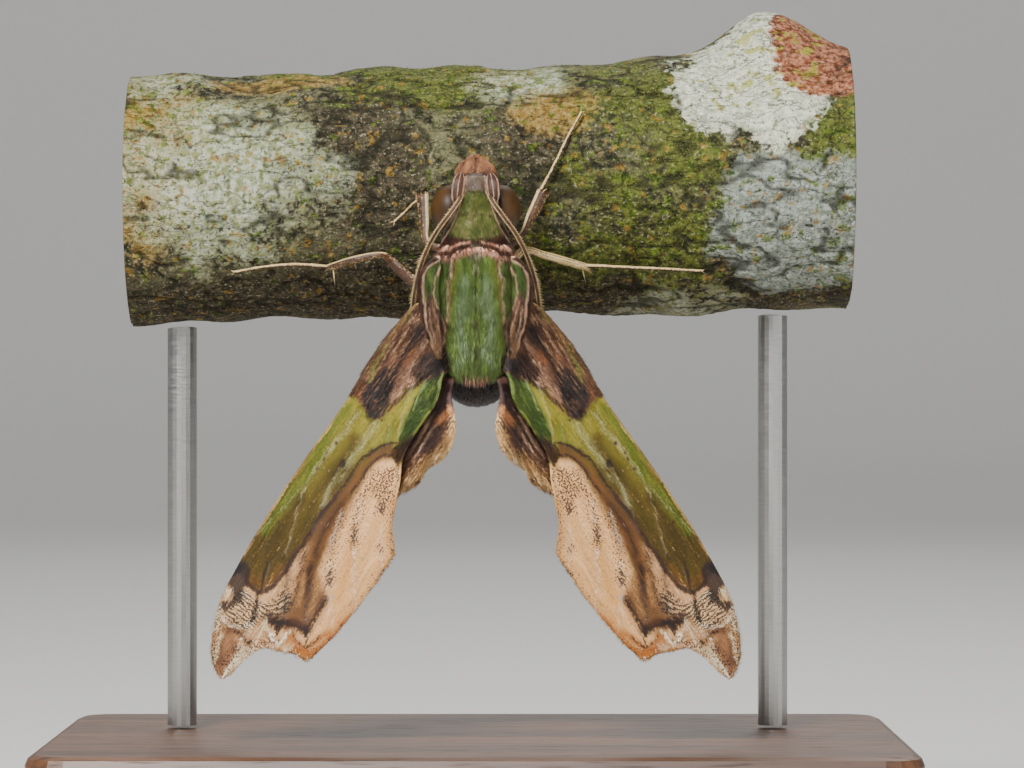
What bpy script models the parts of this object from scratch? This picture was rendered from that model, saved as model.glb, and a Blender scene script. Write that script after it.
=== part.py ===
# Green rippled hawkmoth at rest on a short length of branch, on a display stand.
#
# A life-size still model. The moth hangs head up with its back towards -Y and
# its feet on the branch behind it. The wings are swept back like a roof, the
# abdomen bends under the branch. +X is the moth's right as seen from the back
# of the moth, +Z is up, and the origin is at the middle of the underside of
# the stand. Sizes below are millimetres; the meshes are made in metres.

import math

import bmesh
import bpy
import numpy as np
from mathutils import Vector

MM = 0.001
GAP = 0.3

# Stand and perch
BASE_WIDTH = 68.0
BASE_DEPTH = 44.0
BASE_HEIGHT = 4.0
BASE_BEVEL = 0.8
ROD_DIAMETER = 2.4
ROD_SPACING = 48.0
PERCH_LEFT = -28.0
PERCH_RIGHT = 30.0
PERCH_RADIUS = 10.3
PERCH_Y = 6.0
PERCH_Z = 47.6
PERCH_RISE = 0.024
PERCH_TAPER = 0.008
KNOT_X = 23.8
KNOT_REACH = 4.6
KNOT_HEIGHT = 4.0
KNOT_TURN = math.radians(85)
KNOT_SPREAD = 0.5
PERCH_SIDES = 32
PERCH_RINGS = 21
ROD_SIDES = 20

# Where the middle of the thorax is
MOTH_Y = -9.7
MOTH_Z = 38.46

# Body profile from the snout to the tail tip: y, z, half width, half depth
BODY_PROFILE = (
    (-1.3, 9.8, 0.9, 0.8),
    (-1.15, 9.2, 1.65, 1.5),
    (-0.9, 8.2, 2.1, 2.15),
    (-0.6, 6.9, 2.4, 2.6),
    (-0.4, 5.6, 2.7, 3.0),
    (-0.2, 4.4, 3.0, 3.3),
    (-0.1, 2.9, 3.35, 3.6),
    (0.0, 1.0, 3.6, 3.8),
    (0.1, -0.8, 3.5, 3.7),
    (0.4, -2.3, 3.3, 3.5),
    (1.1, -3.6, 3.15, 3.3),
    (2.6, -4.8, 3.1, 3.1),
    (4.8, -5.4, 3.1, 3.05),
    (7.8, -5.5, 3.0, 2.95),
    (11.0, -5.4, 2.65, 2.6),
    (14.0, -5.1, 2.0, 1.95),
    (16.6, -4.6, 1.2, 1.15),
    (18.3, -4.2, 0.45, 0.4),
)
BODY_SIDES = 20
HEAD_END = 3.0
COLLAR_END = 5.6
THORAX_END = 14.1
ABDOMEN_SEGMENTS = 8
SEGMENT_SWELL = ((0.0, 0.97), (0.55, 1.0), (0.88, 1.03))
TAIL_SWELL = 0.9

# Head
EYE_RADIUS = 1.9
EYE_HALF_WIDTH = 1.45
EYE_CENTRE = (2.05, 0.2, 7.1)
EYE_MERIDIANS = 18
EYE_PARALLELS = 12
PALP_PATH = (
    (0.7, 1.6, 7.4), (0.75, 1.5, 8.3), (0.66, 0.9, 9.1), (0.5, 0.2, 9.7), (0.36, -0.5, 10.1),
    (0.3, -0.95, 10.25),
)
PALP_RADII = (0.5, 0.85, 1.05, 1.08, 0.95, 0.6)
PALP_RINGS = 9
PALP_SIDES = 14
ANTENNA_PATH = (
    (1.0, -2.2, 8.3), (1.3, -2.9, 7.6), (2.0, -2.95, 6.6), (2.9, -2.4, 5.4), (3.6, -1.5, 4.2),
    (4.15, -0.6, 2.9), (4.5, 0.4, 1.8), (4.75, 1.5, 0.6), (4.9, 2.5, -0.5), (5.1, 3.1, -1.8),
    (5.4, 3.2, -3.0), (5.9, 3.0, -3.5),
)
ANTENNA_RADIUS = 0.28
ANTENNA_TIP_RADIUS = 0.16
ANTENNA_TAPER_START = 0.7
ANTENNA_RINGS = 30
ANTENNA_SIDES = 8

# Shoulder covers: z, centre x, centre y, half width, half thickness
TEGULA_PROFILE = (
    (3.4, 2.9, -2.2, 0.35, 0.3),
    (2.6, 3.3, -2.0, 0.95, 0.5),
    (1.2, 3.65, -1.9, 1.25, 0.55),
    (0.0, 3.6, -2.0, 1.2, 0.55),
    (-1.6, 3.4, -2.2, 0.95, 0.5),
    (-3.0, 3.1, -2.4, 0.7, 0.45),
    (-4.2, 2.8, -2.5, 0.35, 0.3),
)
TEGULA_SLOPE = math.radians(48)
TEGULA_RINGS = 10
TEGULA_SIDES = 12

# Wing roof: hinge, direction of the wing's length and how the sheet leans away
WING_HINGE = (3.4, -2.3)
WING_ANGLE = math.radians(56.3)
WING_LEAN = 0.6
WING_SWEEP_BACK = 0.05
WING_CAMBER = 0.5
WING_CAMBER_CENTRE = 2.0
WING_CAMBER_REACH = 4.5
WING_THICKNESS = 0.6
VEIN_HEIGHT = 0.2
VEIN_HALF_WIDTH = 0.22
VEIN_SPAN = 9.0
FRONT_RIDGE_SHARE = 0.3
CELL_END = 0.42
RIDGE_FADE = 0.95
ROW_CROWDING = 1.15
HINDWING_OFFSET = 1.35
FOREWING_ROWS = 13
HINDWING_ROWS = 10

# Border points of the right forewing, x and z, seen from the moth's back
FOREWING_COSTA = (
    (2.8, 0.1), (4.5, -0.1), (6.0, -1.5), (8.0, -4.1), (9.8, -7.2), (12.9, -11.6), (16.2, -16.5),
    (18.3, -20.3),
)
FOREWING_MARGIN = (
    (18.3, -20.3), (18.8, -21.0), (19.3, -21.8), (20.2, -23.9), (20.6, -25.9), (20.6, -27.8), (19.8, -29.4),
    (18.6, -28.5), (17.4, -27.4), (16.5, -26.9), (15.3, -27.1), (14.1, -27.3), (13.0, -27.8), (12.1, -27.1),
    (11.0, -26.0), (10.0, -24.8), (9.0, -23.6), (7.9, -22.1), (6.9, -20.6), (6.4, -19.8), (6.2, -19.1),
)
FOREWING_INNER = (
    (1.5, -5.0), (2.4, -5.7), (2.9, -7.5), (4.0, -9.4), (5.1, -10.9), (5.6, -12.0), (5.8, -13.9),
    (6.1, -15.6), (6.4, -17.3), (6.2, -19.1),
)
FOREWING_STEMS = (0, 3, 8, 10)

# Border points of the right hindwing, mostly under the forewing
HINDWING_COSTA = ((2.3, -2.7), (4.3, -5.0), (7.0, -10.0), (9.7, -15.5), (11.8, -20.2))
HINDWING_MARGIN = (
    (11.8, -20.2), (12.0, -21.4), (11.4, -22.4), (10.2, -21.5), (9.3, -20.3), (8.2, -18.7), (7.4, -17.0),
    (6.5, -15.6), (5.9, -14.7), (5.2, -14.1), (4.6, -13.9), (4.3, -13.1), (3.9, -12.5), (3.3, -11.9),
    (2.6, -11.5),
)
HINDWING_INNER = ((1.5, -5.6), (2.2, -7.1), (2.2, -8.9), (2.3, -10.2), (2.6, -11.5))
HINDWING_STEMS = (0, 2, 5, 7)

# Depth inside the thorax where the legs begin, and how fine the legs and their spurs are
LEG_ROOT_Y = 1.2
LEG_SIDES = 9
SPUR_RADII = (0.26, 0.22, 0.1)
SPUR_SIDES = 6

MATERIALS = {
    "green_fur": ((0.10, 0.16, 0.03), 0.85),
    "brown_fur": ((0.13, 0.07, 0.04), 0.85),
    "wing_scales": ((0.16, 0.17, 0.05), 0.7),
    "hindwing_scales": ((0.12, 0.07, 0.04), 0.7),
    "eye": ((0.06, 0.03, 0.02), 0.2),
    "pale_limb": ((0.55, 0.42, 0.24), 0.7),
    "bark": ((0.13, 0.13, 0.07), 0.9),
    "stand_wood": ((0.05, 0.05, 0.05), 0.4),
    "stand_steel": ((0.5, 0.5, 0.5), 0.3),
}


# Small helpers

def material(name):
    found = bpy.data.materials.get(name)
    if found:
        return found
    colour, roughness = MATERIALS[name]
    made = bpy.data.materials.new(name)
    made.use_nodes = True
    shader = made.node_tree.nodes["Principled BSDF"]
    shader.inputs["Base Color"].default_value = (*colour, 1)
    shader.inputs["Roughness"].default_value = roughness
    shader.inputs["Metallic"].default_value = 1.0 if name == "stand_steel" else 0.0
    return made


def smooth_path(points, count):
    """Points on a Catmull-Rom curve through the given rows, evenly by chord length."""
    rows = np.array(points, dtype=float)
    steps = np.linalg.norm(np.diff(rows, axis=0), axis=1)
    knots = np.concatenate(([0], np.cumsum(steps)))
    slopes = np.gradient(rows, knots, axis=0)
    samples = []
    for s in np.linspace(0, knots[-1], count):
        samples.append(hermite(rows, knots, slopes, s))
    return np.array(samples)


def hermite(rows, knots, slopes, s):
    i = int(min(max(np.searchsorted(knots, s) - 1, 0), len(knots) - 2))
    span = knots[i + 1] - knots[i]
    t = (s - knots[i]) / span
    return (
        rows[i] * (2 * t**3 - 3 * t**2 + 1)
        + slopes[i] * span * (t**3 - 2 * t**2 + t)
        + rows[i + 1] * (3 * t**2 - 2 * t**3)
        + slopes[i + 1] * span * (t**3 - t**2)
    )


def to_world(x, y, z):
    return Vector((x, y + MOTH_Y, z + MOTH_Z)) * MM


def make_object(name, mesh_data, finish):
    mesh = bpy.data.meshes.new(name)
    mesh_data.to_mesh(mesh)
    mesh_data.free()
    mesh.materials.append(material(finish))
    mesh.shade_smooth()
    mesh.set_sharp_from_angle(angle=math.radians(40))
    made = bpy.data.objects.new(name, mesh)
    bpy.context.collection.objects.link(made)
    return made


def skin_rings(rings):
    """One closed body through rings of equal count, with flat ends."""
    body = bmesh.new()
    loops = [[body.verts.new(point) for point in ring] for ring in rings]
    count = len(loops[0])
    for near, far in zip(loops, loops[1:]):
        for i in range(count):
            j = (i + 1) % count
            body.faces.new((near[i], near[j], far[j], far[i]))
    body.faces.new(loops[0])
    body.faces.new(loops[-1])
    face_outwards(body)
    return body


def face_outwards(mesh):
    bmesh.ops.recalc_face_normals(mesh, faces=mesh.faces)
    if mesh.calc_volume(signed=True) < 0:
        bmesh.ops.reverse_faces(mesh, faces=mesh.faces)


def tube(path, radii, sides, place=to_world):
    """A round limb swept through the path's points."""
    centres = [place(*point) for point in path]
    rings = []
    side_way = None
    for i, centre in enumerate(centres):
        ahead = centres[min(i + 1, len(centres) - 1)]
        behind = centres[max(i - 1, 0)]
        way = (ahead - behind).normalized()
        if side_way is None:
            side_way = way.orthogonal().normalized()
        side_way = (side_way - way * side_way.dot(way)).normalized()
        up_way = way.cross(side_way)
        ring = []
        for k in range(sides):
            turn = 2 * math.pi * k / sides
            ring.append(centre + (side_way * math.cos(turn) + up_way * math.sin(turn)) * radii[i] * MM)
        rings.append(ring)
    return skin_rings(rings)


def apply_modifiers(target):
    graph = bpy.context.evaluated_depsgraph_get()
    mesh = bpy.data.meshes.new_from_object(target.evaluated_get(graph))
    target.modifiers.clear()
    old = target.data
    target.data = mesh
    bpy.data.meshes.remove(old)


def keep_largest(target):
    """Drop every loose scrap, so that the node is one closed body."""
    mesh = bmesh.new()
    mesh.from_mesh(target.data)
    left = set(mesh.verts)
    shells = []
    while left:
        shell = {left.pop()}
        edge = list(shell)
        while edge:
            vert = edge.pop()
            for link in vert.link_edges:
                other = link.other_vert(vert)
                if other not in shell:
                    shell.add(other)
                    edge.append(other)
        left -= shell
        shells.append(shell)
    largest = max(shells, key=len)
    bmesh.ops.delete(mesh, geom=[v for v in mesh.verts if v not in largest], context="VERTS")
    face_outwards(mesh)
    mesh.to_mesh(target.data)
    mesh.free()


def grown_copy(source, margin):
    """The same form, swollen evenly by the margin."""
    mesh = bmesh.new()
    mesh.from_mesh(source.data)
    mesh.normal_update()
    moves = [(v, v.normal * min(v.calc_shell_factor(), 1.8) * margin * MM) for v in mesh.verts]
    for vert, move in moves:
        vert.co += move
    data = bpy.data.meshes.new("guide")
    mesh.to_mesh(data)
    mesh.free()
    guide = bpy.data.objects.new("guide", data)
    guide.hide_render = True
    guide.display_type = "WIRE"
    bpy.context.collection.objects.link(guide)
    return guide


def cut_clear(target, *neighbours, margin=GAP):
    """Cut the target back so that it meets each neighbour across the gap."""
    for neighbour in neighbours:
        subtract(target, grown_copy(neighbour, margin))
    keep_largest(target)


def subtract(target, guide):
    """Cut the guide's form out of the target and remove the guide."""
    cut = target.modifiers.new("cut", "BOOLEAN")
    cut.operation = "DIFFERENCE"
    cut.solver = "EXACT"
    cut.object = guide
    apply_modifiers(target)
    bpy.data.objects.remove(guide)


def join_pieces(target, pieces):
    """Fuse the pieces into the target with one union."""
    group = bpy.data.collections.new("pieces")
    bpy.context.scene.collection.children.link(group)
    for piece in pieces:
        group.objects.link(piece)
    union = target.modifiers.new("union", "BOOLEAN")
    union.operation = "UNION"
    union.solver = "EXACT"
    union.operand_type = "COLLECTION"
    union.collection = group
    apply_modifiers(target)
    for piece in pieces:
        bpy.data.objects.remove(piece)
    bpy.data.collections.remove(group)
    keep_largest(target)


# Stand and perch

def perch_radius(x, turn):
    """Radius of the branch with low swellings and one knot at the top right."""
    swell = 0.22 * math.sin(0.31 * x + 2 * turn) + 0.15 * math.sin(0.83 * x - 3 * turn + 1.0)
    along = (x - KNOT_X) / KNOT_REACH
    around = (turn - KNOT_TURN) / KNOT_SPREAD
    knot = KNOT_HEIGHT * math.exp(-(along**2) - around**2)
    return PERCH_RADIUS + PERCH_TAPER * x + swell + knot


def perch_point(x, turn):
    """A point on the bark; turn is 0 at the back and goes over the top to the front."""
    reach = perch_radius(x, turn)
    y = PERCH_Y + reach * math.cos(turn)
    z = PERCH_Z + PERCH_RISE * x + reach * math.sin(turn)
    return Vector((x, y, z)) * MM


def make_perch():
    rings = []
    for x in np.linspace(PERCH_LEFT, PERCH_RIGHT, PERCH_RINGS):
        rings.append([perch_point(x, 2 * math.pi * k / PERCH_SIDES) for k in range(PERCH_SIDES)])
    return make_object("perch", skin_rings(rings), "bark")


def make_stand(perch):
    base = bmesh.new()
    bmesh.ops.create_cube(base, size=1.0)
    for vert in base.verts:
        vert.co.x *= BASE_WIDTH * MM
        vert.co.y *= BASE_DEPTH * MM
        vert.co.z = (vert.co.z + 0.5) * BASE_HEIGHT * MM
    upright = [e for e in base.edges if abs(e.verts[0].co.z - e.verts[1].co.z) > MM]
    bmesh.ops.bevel(base, geom=upright, offset=4 * BASE_BEVEL * MM, segments=4, affect="EDGES", profile=0.5)
    top = [e for e in base.edges if all(v.co.z > (BASE_HEIGHT - 0.01) * MM for v in e.verts)]
    bmesh.ops.bevel(base, geom=top, offset=BASE_BEVEL * MM, segments=2, affect="EDGES", profile=0.5)
    make_object("stand_base", base, "stand_wood")
    for side, name in ((-1, "stand_rod_left"), (1, "stand_rod_right")):
        make_rod(name, side * ROD_SPACING / 2, perch)


def make_rod(name, x, perch):
    rings = []
    for z in (BASE_HEIGHT + GAP, PERCH_Z - PERCH_RADIUS / 2):
        ring = []
        for k in range(ROD_SIDES):
            turn = 2 * math.pi * k / ROD_SIDES
            dx = math.cos(turn) * ROD_DIAMETER / 2
            dy = math.sin(turn) * ROD_DIAMETER / 2
            ring.append(Vector((x + dx, PERCH_Y + dy, z)) * MM)
        rings.append(ring)
    rod = make_object(name, skin_rings(rings), "stand_steel")
    cut_clear(rod, perch)


# Body

def body_curve():
    """Finely sampled body profile with the distance run along it."""
    rows = smooth_path(BODY_PROFILE, 240)
    steps = np.hypot(np.diff(rows[:, 0]), np.diff(rows[:, 1]))
    return rows, np.concatenate(([0], np.cumsum(steps)))


def body_ring(distance, curve, swell=1.0):
    """Elliptical ring square to the body's course at this distance from the snout."""
    rows, run = curve
    y, z, half_width, half_depth = (np.interp(distance, run, rows[:, i]) for i in range(4))
    before = [np.interp(distance - 0.2, run, rows[:, i]) for i in range(2)]
    after = [np.interp(distance + 0.2, run, rows[:, i]) for i in range(2)]
    way = Vector((0, after[0] - before[0], after[1] - before[1])).normalized()
    back_way = Vector((0, way.z, -way.y))
    ring = []
    for k in range(BODY_SIDES):
        turn = 2 * math.pi * k / BODY_SIDES
        dx = math.cos(turn) * half_width * swell
        across = back_way * math.sin(turn) * half_depth * swell
        ring.append(to_world(dx, y + across.y, z + across.z))
    return ring


def make_body():
    curve = body_curve()
    length = curve[1][-1]
    plain = (
        ("head", 0.0, HEAD_END - GAP / 2, 6, "green_fur"),
        ("collar", HEAD_END + GAP / 2, COLLAR_END - GAP / 2, 5, "green_fur"),
        ("thorax", COLLAR_END + GAP / 2, THORAX_END - GAP / 2, 12, "green_fur"),
    )
    made = {}
    for name, start, end, count, finish in plain:
        rings = [body_ring(d, curve) for d in np.linspace(start, end, count)]
        made[name] = make_object(name, skin_rings(rings), finish)
    made["abdomen"] = make_abdomen(curve, THORAX_END + GAP / 2, length)
    return made


def make_abdomen(curve, start, end):
    """Each segment widens to its rear edge and steps in at the next one."""
    rings = []
    step = (end - start) / ABDOMEN_SEGMENTS
    for i in range(ABDOMEN_SEGMENTS):
        for place, swell in SEGMENT_SWELL:
            rings.append(body_ring(start + (i + place) * step, curve, swell))
    rings.append(body_ring(end, curve, TAIL_SWELL))
    return make_object("abdomen", skin_rings(rings), "brown_fur")


def make_eye(name, side):
    ball = bmesh.new()
    bmesh.ops.create_uvsphere(ball, u_segments=EYE_MERIDIANS, v_segments=EYE_PARALLELS, radius=1.0)
    x, y, z = EYE_CENTRE
    centre = to_world(side * x, y, z)
    for vert in ball.verts:
        vert.co.x = vert.co.x * EYE_HALF_WIDTH * MM + centre.x
        vert.co.y = vert.co.y * EYE_RADIUS * MM + centre.y
        vert.co.z = vert.co.z * EYE_RADIUS * MM + centre.z
    return make_object(name, ball, "eye")


def side_path(path, side):
    return [(side * x, y, z) for x, y, z in path]


def make_palp(name, side):
    """Half of the snout's dome, cut off square just beside the middle line."""
    rows = smooth_path([(*p, r) for p, r in zip(PALP_PATH, PALP_RADII)], PALP_RINGS)
    path = side_path(rows[:, :3], side)
    palp = make_object(name, tube(path, rows[:, 3], PALP_SIDES), "brown_fur")
    cut_at_middle(palp, side)
    return palp


def cut_at_middle(target, side):
    """Take away what lies nearer to the middle line than half a gap, or beyond it."""
    block = bmesh.new()
    bmesh.ops.create_cube(block, size=1.0)
    centre = to_world(0, 0, PALP_PATH[-1][2])
    for vert in block.verts:
        vert.co = centre + vert.co * BASE_DEPTH * MM
        vert.co.x += side * (GAP - BASE_DEPTH) / 2 * MM
    guide = make_object("guide", block, "brown_fur")
    subtract(target, guide)


def make_antenna(name, side):
    path = side_path(smooth_path(ANTENNA_PATH, ANTENNA_RINGS), side)
    places = np.linspace(0, 1, ANTENNA_RINGS)
    widths = (ANTENNA_RADIUS, ANTENNA_RADIUS, ANTENNA_TIP_RADIUS)
    radii = np.interp(places, (0, ANTENNA_TAPER_START, 1), widths)
    return make_object(name, tube(path, radii, ANTENNA_SIDES), "pale_limb")


def make_tegula(name, side):
    """A leaf-shaped plate that lies along the shoulder, sloping down to the side."""
    rows = smooth_path(TEGULA_PROFILE, TEGULA_RINGS)
    rings = []
    for z, x, y, half_width, half_thick in rows:
        ring = []
        for k in range(TEGULA_SIDES):
            turn = 2 * math.pi * k / TEGULA_SIDES
            across = math.cos(turn) * half_width
            out = math.sin(turn) * half_thick
            dx = across * math.cos(TEGULA_SLOPE) + out * math.sin(TEGULA_SLOPE)
            dy = across * math.sin(TEGULA_SLOPE) - out * math.cos(TEGULA_SLOPE)
            ring.append(to_world(side * (x + dx), y + dy, z))
        rings.append(ring)
    return make_object(name, skin_rings(rings), "green_fur")


# Wings

def wing_depth(x, z):
    """How far the wing sheet lies behind the thorax centre at this place."""
    dx = x - WING_HINGE[0]
    dz = z - WING_HINGE[1]
    along = dx * math.cos(WING_ANGLE) - dz * math.sin(WING_ANGLE)
    across = -dx * math.sin(WING_ANGLE) - dz * math.cos(WING_ANGLE)
    camber = 1 - ((across - WING_CAMBER_CENTRE) / WING_CAMBER_REACH) ** 2
    return 0.3 - WING_LEAN * across + WING_SWEEP_BACK * along - WING_CAMBER * camber


class WingPlan:
    """A four-sided patch: root, costa, outer margin and inner margin."""

    def __init__(self, costa, margin, inner):
        self.costa = smooth_path(costa, 41)
        self.inner = smooth_path(inner, 41)
        self.margin = np.array(margin)

    def on_border(self, border, t):
        places = np.linspace(0, 1, len(border))
        return np.array([np.interp(t, places, border[:, i]) for i in range(2)])

    def point(self, u, s):
        """u runs from costa to inner margin, s from root to outer margin."""
        costa = self.on_border(self.costa, s)
        inner = self.on_border(self.inner, s)
        margin = self.on_border(self.margin, u)
        corners = [self.costa[0], self.inner[0], self.costa[-1], self.inner[-1]]
        root = corners[0] * (1 - u) + corners[1] * u
        flat = root * (1 - s) + (corners[2] * (1 - u) + corners[3] * u) * s
        return costa * (1 - u) + inner * u + root * (1 - s) + margin * s - flat


def vein_columns(vein_count, span):
    """Columns across the wing: the crest of each vein, its two flanks, and the middle of each cell."""
    columns = []
    for k in range(vein_count):
        crest = k / (vein_count - 1)
        flank = min(VEIN_HALF_WIDTH / span, 0.28 / (vein_count - 1))
        if k > 0:
            columns.append((crest - flank, None))
        columns.append((crest, k))
        if k < vein_count - 1:
            columns.append((crest + flank, None))
            columns.append((crest + 0.5 / (vein_count - 1), None))
    return columns


def make_wing(name, side, borders, stems, rows, offset, finish):
    """A closed sheet whose back carries the veins as ridges; stems reach the root,
    the others rise where the middle cell ends."""
    plan = WingPlan(*borders)
    vein_count = (len(borders[1]) + 1) // 2
    columns = vein_columns(vein_count, VEIN_SPAN)
    stations = np.linspace(0, 1, rows) ** ROW_CROWDING
    sheet = bmesh.new()
    back = []
    front = []
    for s in stations:
        back_row = []
        front_row = []
        for u, vein in columns:
            x, z = plan.point(u, s)
            y = wing_depth(x, z) + offset
            ridge = 0.0
            if vein is not None and (vein in stems or s > CELL_END):
                ridge = VEIN_HEIGHT * (1.0 if s < RIDGE_FADE else 0.5)
            thick = WING_THICKNESS / 2
            back_row.append(sheet.verts.new(to_world(side * x, y - thick - ridge, z)))
            front_row.append(sheet.verts.new(to_world(side * x, y + thick + ridge * FRONT_RIDGE_SHARE, z)))
        back.append(back_row)
        front.append(front_row)
    close_sheet(sheet, back, front)
    return make_object(name, sheet, finish)


def close_sheet(sheet, back, front):
    """Triangles split alike on both faces, and a rim all round."""
    for grid in (back, front):
        for near, far in zip(grid, grid[1:]):
            for i in range(len(near) - 1):
                sheet.faces.new((near[i], near[i + 1], far[i + 1]))
                sheet.faces.new((near[i], far[i + 1], far[i]))
    rim = [(0, i) for i in range(len(back[0]))]
    rim += [(j, len(back[0]) - 1) for j in range(1, len(back))]
    rim += [(len(back) - 1, i) for i in range(len(back[0]) - 2, -1, -1)]
    rim += [(j, 0) for j in range(len(back) - 2, 0, -1)]
    for (j, i), (m, n) in zip(rim, rim[1:] + rim[:1]):
        sheet.faces.new((back[j][i], back[m][n], front[m][n]))
        sheet.faces.new((back[j][i], front[m][n], front[j][i]))
    face_outwards(sheet)


# Legs

def bark_depth(x, z, clearance):
    """Depth at which a foot of this clearance stands off the front of the bark, in moth terms."""
    turn = math.pi
    height = z + MOTH_Z - PERCH_Z - PERCH_RISE * x
    for _ in range(8):
        reach = perch_radius(x, turn) + clearance
        turn = math.pi - math.asin(max(-0.99, min(0.99, height / reach)))
    return PERCH_Y + reach * math.cos(turn) - MOTH_Y


def bark_underside(x, y, clearance):
    """Height at which a foot of this clearance stands off the underside of the bark, in moth terms."""
    turn = 1.5 * math.pi
    width = y + MOTH_Y - PERCH_Y
    for _ in range(8):
        reach = perch_radius(x, turn) + clearance
        turn = 1.5 * math.pi + math.asin(max(-0.99, min(0.99, width / reach)))
    return PERCH_Z + PERCH_RISE * x + reach * math.sin(turn) - MOTH_Z


def foot(x, z, radius):
    return (x, bark_depth(x, z, radius + GAP), z)


def fore_leg_right():
    path = [(1.3, LEG_ROOT_Y, 3.7), (2.2, 2.6, 4.2), (3.3, 3.0, 5.1), (4.2, 3.9, 6.9), (5.2, 4.6, 8.95),
            (6.3, bark_depth(6.3, 11.1, 0.75), 11.1), foot(7.3, 13.2, 0.28), foot(8.35, 15.1, 0.24)]
    radii = [0.6, 0.6, 0.55, 0.5, 0.38, 0.28, 0.27, 0.2]
    return path, radii, []


def fore_leg_left():
    path = [(-1.3, LEG_ROOT_Y, 3.7), (-2.5, 2.7, 4.0), (-3.85, 2.9, 4.65), (-4.15, 3.6, 6.4),
            (-4.3, 4.05, 8.1), (-4.5, 4.25, 8.65), (-4.95, 4.4, 8.75), (-5.35, 4.5, 8.3),
            foot(-5.9, 7.4, 0.27), foot(-6.6, 6.3, 0.24)]
    radii = [0.6, 0.6, 0.55, 0.5, 0.38, 0.3, 0.27, 0.27, 0.26, 0.2]
    return path, radii, []


def mid_leg_right():
    path = [(1.6, LEG_ROOT_Y, 1.6), (2.5, 4.1, 2.4), (3.7, 4.7, 3.6), (5.6, bark_depth(5.6, 3.75, 0.9), 3.75),
            foot(8.8, 2.95, 0.38), foot(12.0, 2.8, 0.28), foot(15.2, 2.65, 0.27), foot(18.0, 2.5, 0.22)]
    radii = [0.6, 0.6, 0.5, 0.45, 0.36, 0.28, 0.26, 0.2]
    spur = [(8.5, bark_depth(8.5, 2.9, 0.75), 3.0), (8.8, bark_depth(8.8, 2.2, 0.7), 2.1),
            (9.1, bark_depth(9.1, 1.2, 0.7), 1.1)]
    return path, radii, [spur]


def mid_leg_left():
    path = [(-1.6, LEG_ROOT_Y, 1.2), (-3.0, 3.9, 1.2), (-5.0, 4.6, 1.6), (-6.6, 4.9, 3.0),
            (-7.4, bark_depth(-7.4, 4.0, 0.85), 4.0), (-9.8, bark_depth(-9.8, 3.6, 0.75), 3.6),
            foot(-12.25, 2.85, 0.36), foot(-14.6, 3.0, 0.28), foot(-16.9, 2.8, 0.27), foot(-19.3, 2.4, 0.22)]
    radii = [0.6, 0.6, 0.6, 0.58, 0.45, 0.42, 0.35, 0.28, 0.26, 0.2]
    spur = [(-11.6, bark_depth(-11.6, 2.9, 0.75), 3.05), (-11.5, bark_depth(-11.5, 2.2, 0.7), 2.1),
            (-11.3, bark_depth(-11.3, 1.2, 0.7), 1.2)]
    return path, radii, [spur]


def hind_leg(side):
    path = [(1.5, LEG_ROOT_Y, -0.9), (2.3, 4.3, -1.4), (3.6, 5.4, -2.5), (4.4, 5.9, -3.1), (4.5, 7.6, -2.3)]
    path = side_path(path, side)
    feet = ((4.6, 9.9, 1.3), (4.7, 12.6, 0.7), (4.8, 15.7, 0.66), (4.9, 18.3, 0.64), (5.0, 20.6, 0.62))
    for x, y, clearance in feet:
        path.append((side * x, y, bark_underside(side * x, y, clearance)))
    radii = [0.6, 0.6, 0.55, 0.5, 0.42, 0.38, 0.28, 0.27, 0.25, 0.2]
    ankle = path[5]
    spur = [ankle, (side * 4.9, 10.6, ankle[2] - 0.7), (side * 5.2, 11.3, ankle[2] - 1.1)]
    return path, radii, [spur]


def make_leg(name, plan):
    path, radii, spurs = plan
    leg = make_object(name, tube(path, radii, LEG_SIDES), "pale_limb")
    spines = [make_object("guide", tube(spur, SPUR_RADII, SPUR_SIDES), "pale_limb") for spur in spurs]
    if spines:
        join_pieces(leg, spines)
    return leg


# Whole model

def clear_scene():
    for item in list(bpy.data.objects):
        bpy.data.objects.remove(item)


def make_moth():
    body = make_body()
    eyes = [make_eye("eye_left", -1), make_eye("eye_right", 1)]
    whole_head = body["head"]
    for side, word in ((-1, "left"), (1, "right")):
        palp = make_palp("palp_" + word, side)
        cut_clear(palp, whole_head, *eyes)
        antenna = make_antenna("antenna_" + word, side)
        cut_clear(antenna, whole_head)
    cut_clear(whole_head, *eyes)
    cut_clear(body["collar"], *eyes)
    for side, word in ((-1, "left"), (1, "right")):
        make_wing_pair(side, word, body)
    make_legs(body)


def make_wing_pair(side, word, body):
    fore = make_wing(
        "forewing_" + word, side, (FOREWING_COSTA, FOREWING_MARGIN, FOREWING_INNER), FOREWING_STEMS,
        FOREWING_ROWS, 0.0, "wing_scales",
    )
    cut_clear(fore, body["thorax"], body["abdomen"])
    hind = make_wing(
        "hindwing_" + word, side, (HINDWING_COSTA, HINDWING_MARGIN, HINDWING_INNER), HINDWING_STEMS,
        HINDWING_ROWS, HINDWING_OFFSET, "hindwing_scales",
    )
    cut_clear(hind, body["thorax"], body["abdomen"])
    tegula = make_tegula("tegula_" + word, side)
    cut_clear(tegula, body["thorax"], fore)


def make_legs(body):
    plans = {
        "leg_fore_right": fore_leg_right(),
        "leg_fore_left": fore_leg_left(),
        "leg_mid_right": mid_leg_right(),
        "leg_mid_left": mid_leg_left(),
        "leg_hind_right": hind_leg(1),
        "leg_hind_left": hind_leg(-1),
    }
    for name, plan in plans.items():
        leg = make_leg(name, plan)
        cut_clear(leg, body["thorax"], body["collar"])


def main():
    clear_scene()
    perch = make_perch()
    make_stand(perch)
    make_moth()


main()
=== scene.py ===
import math

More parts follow.
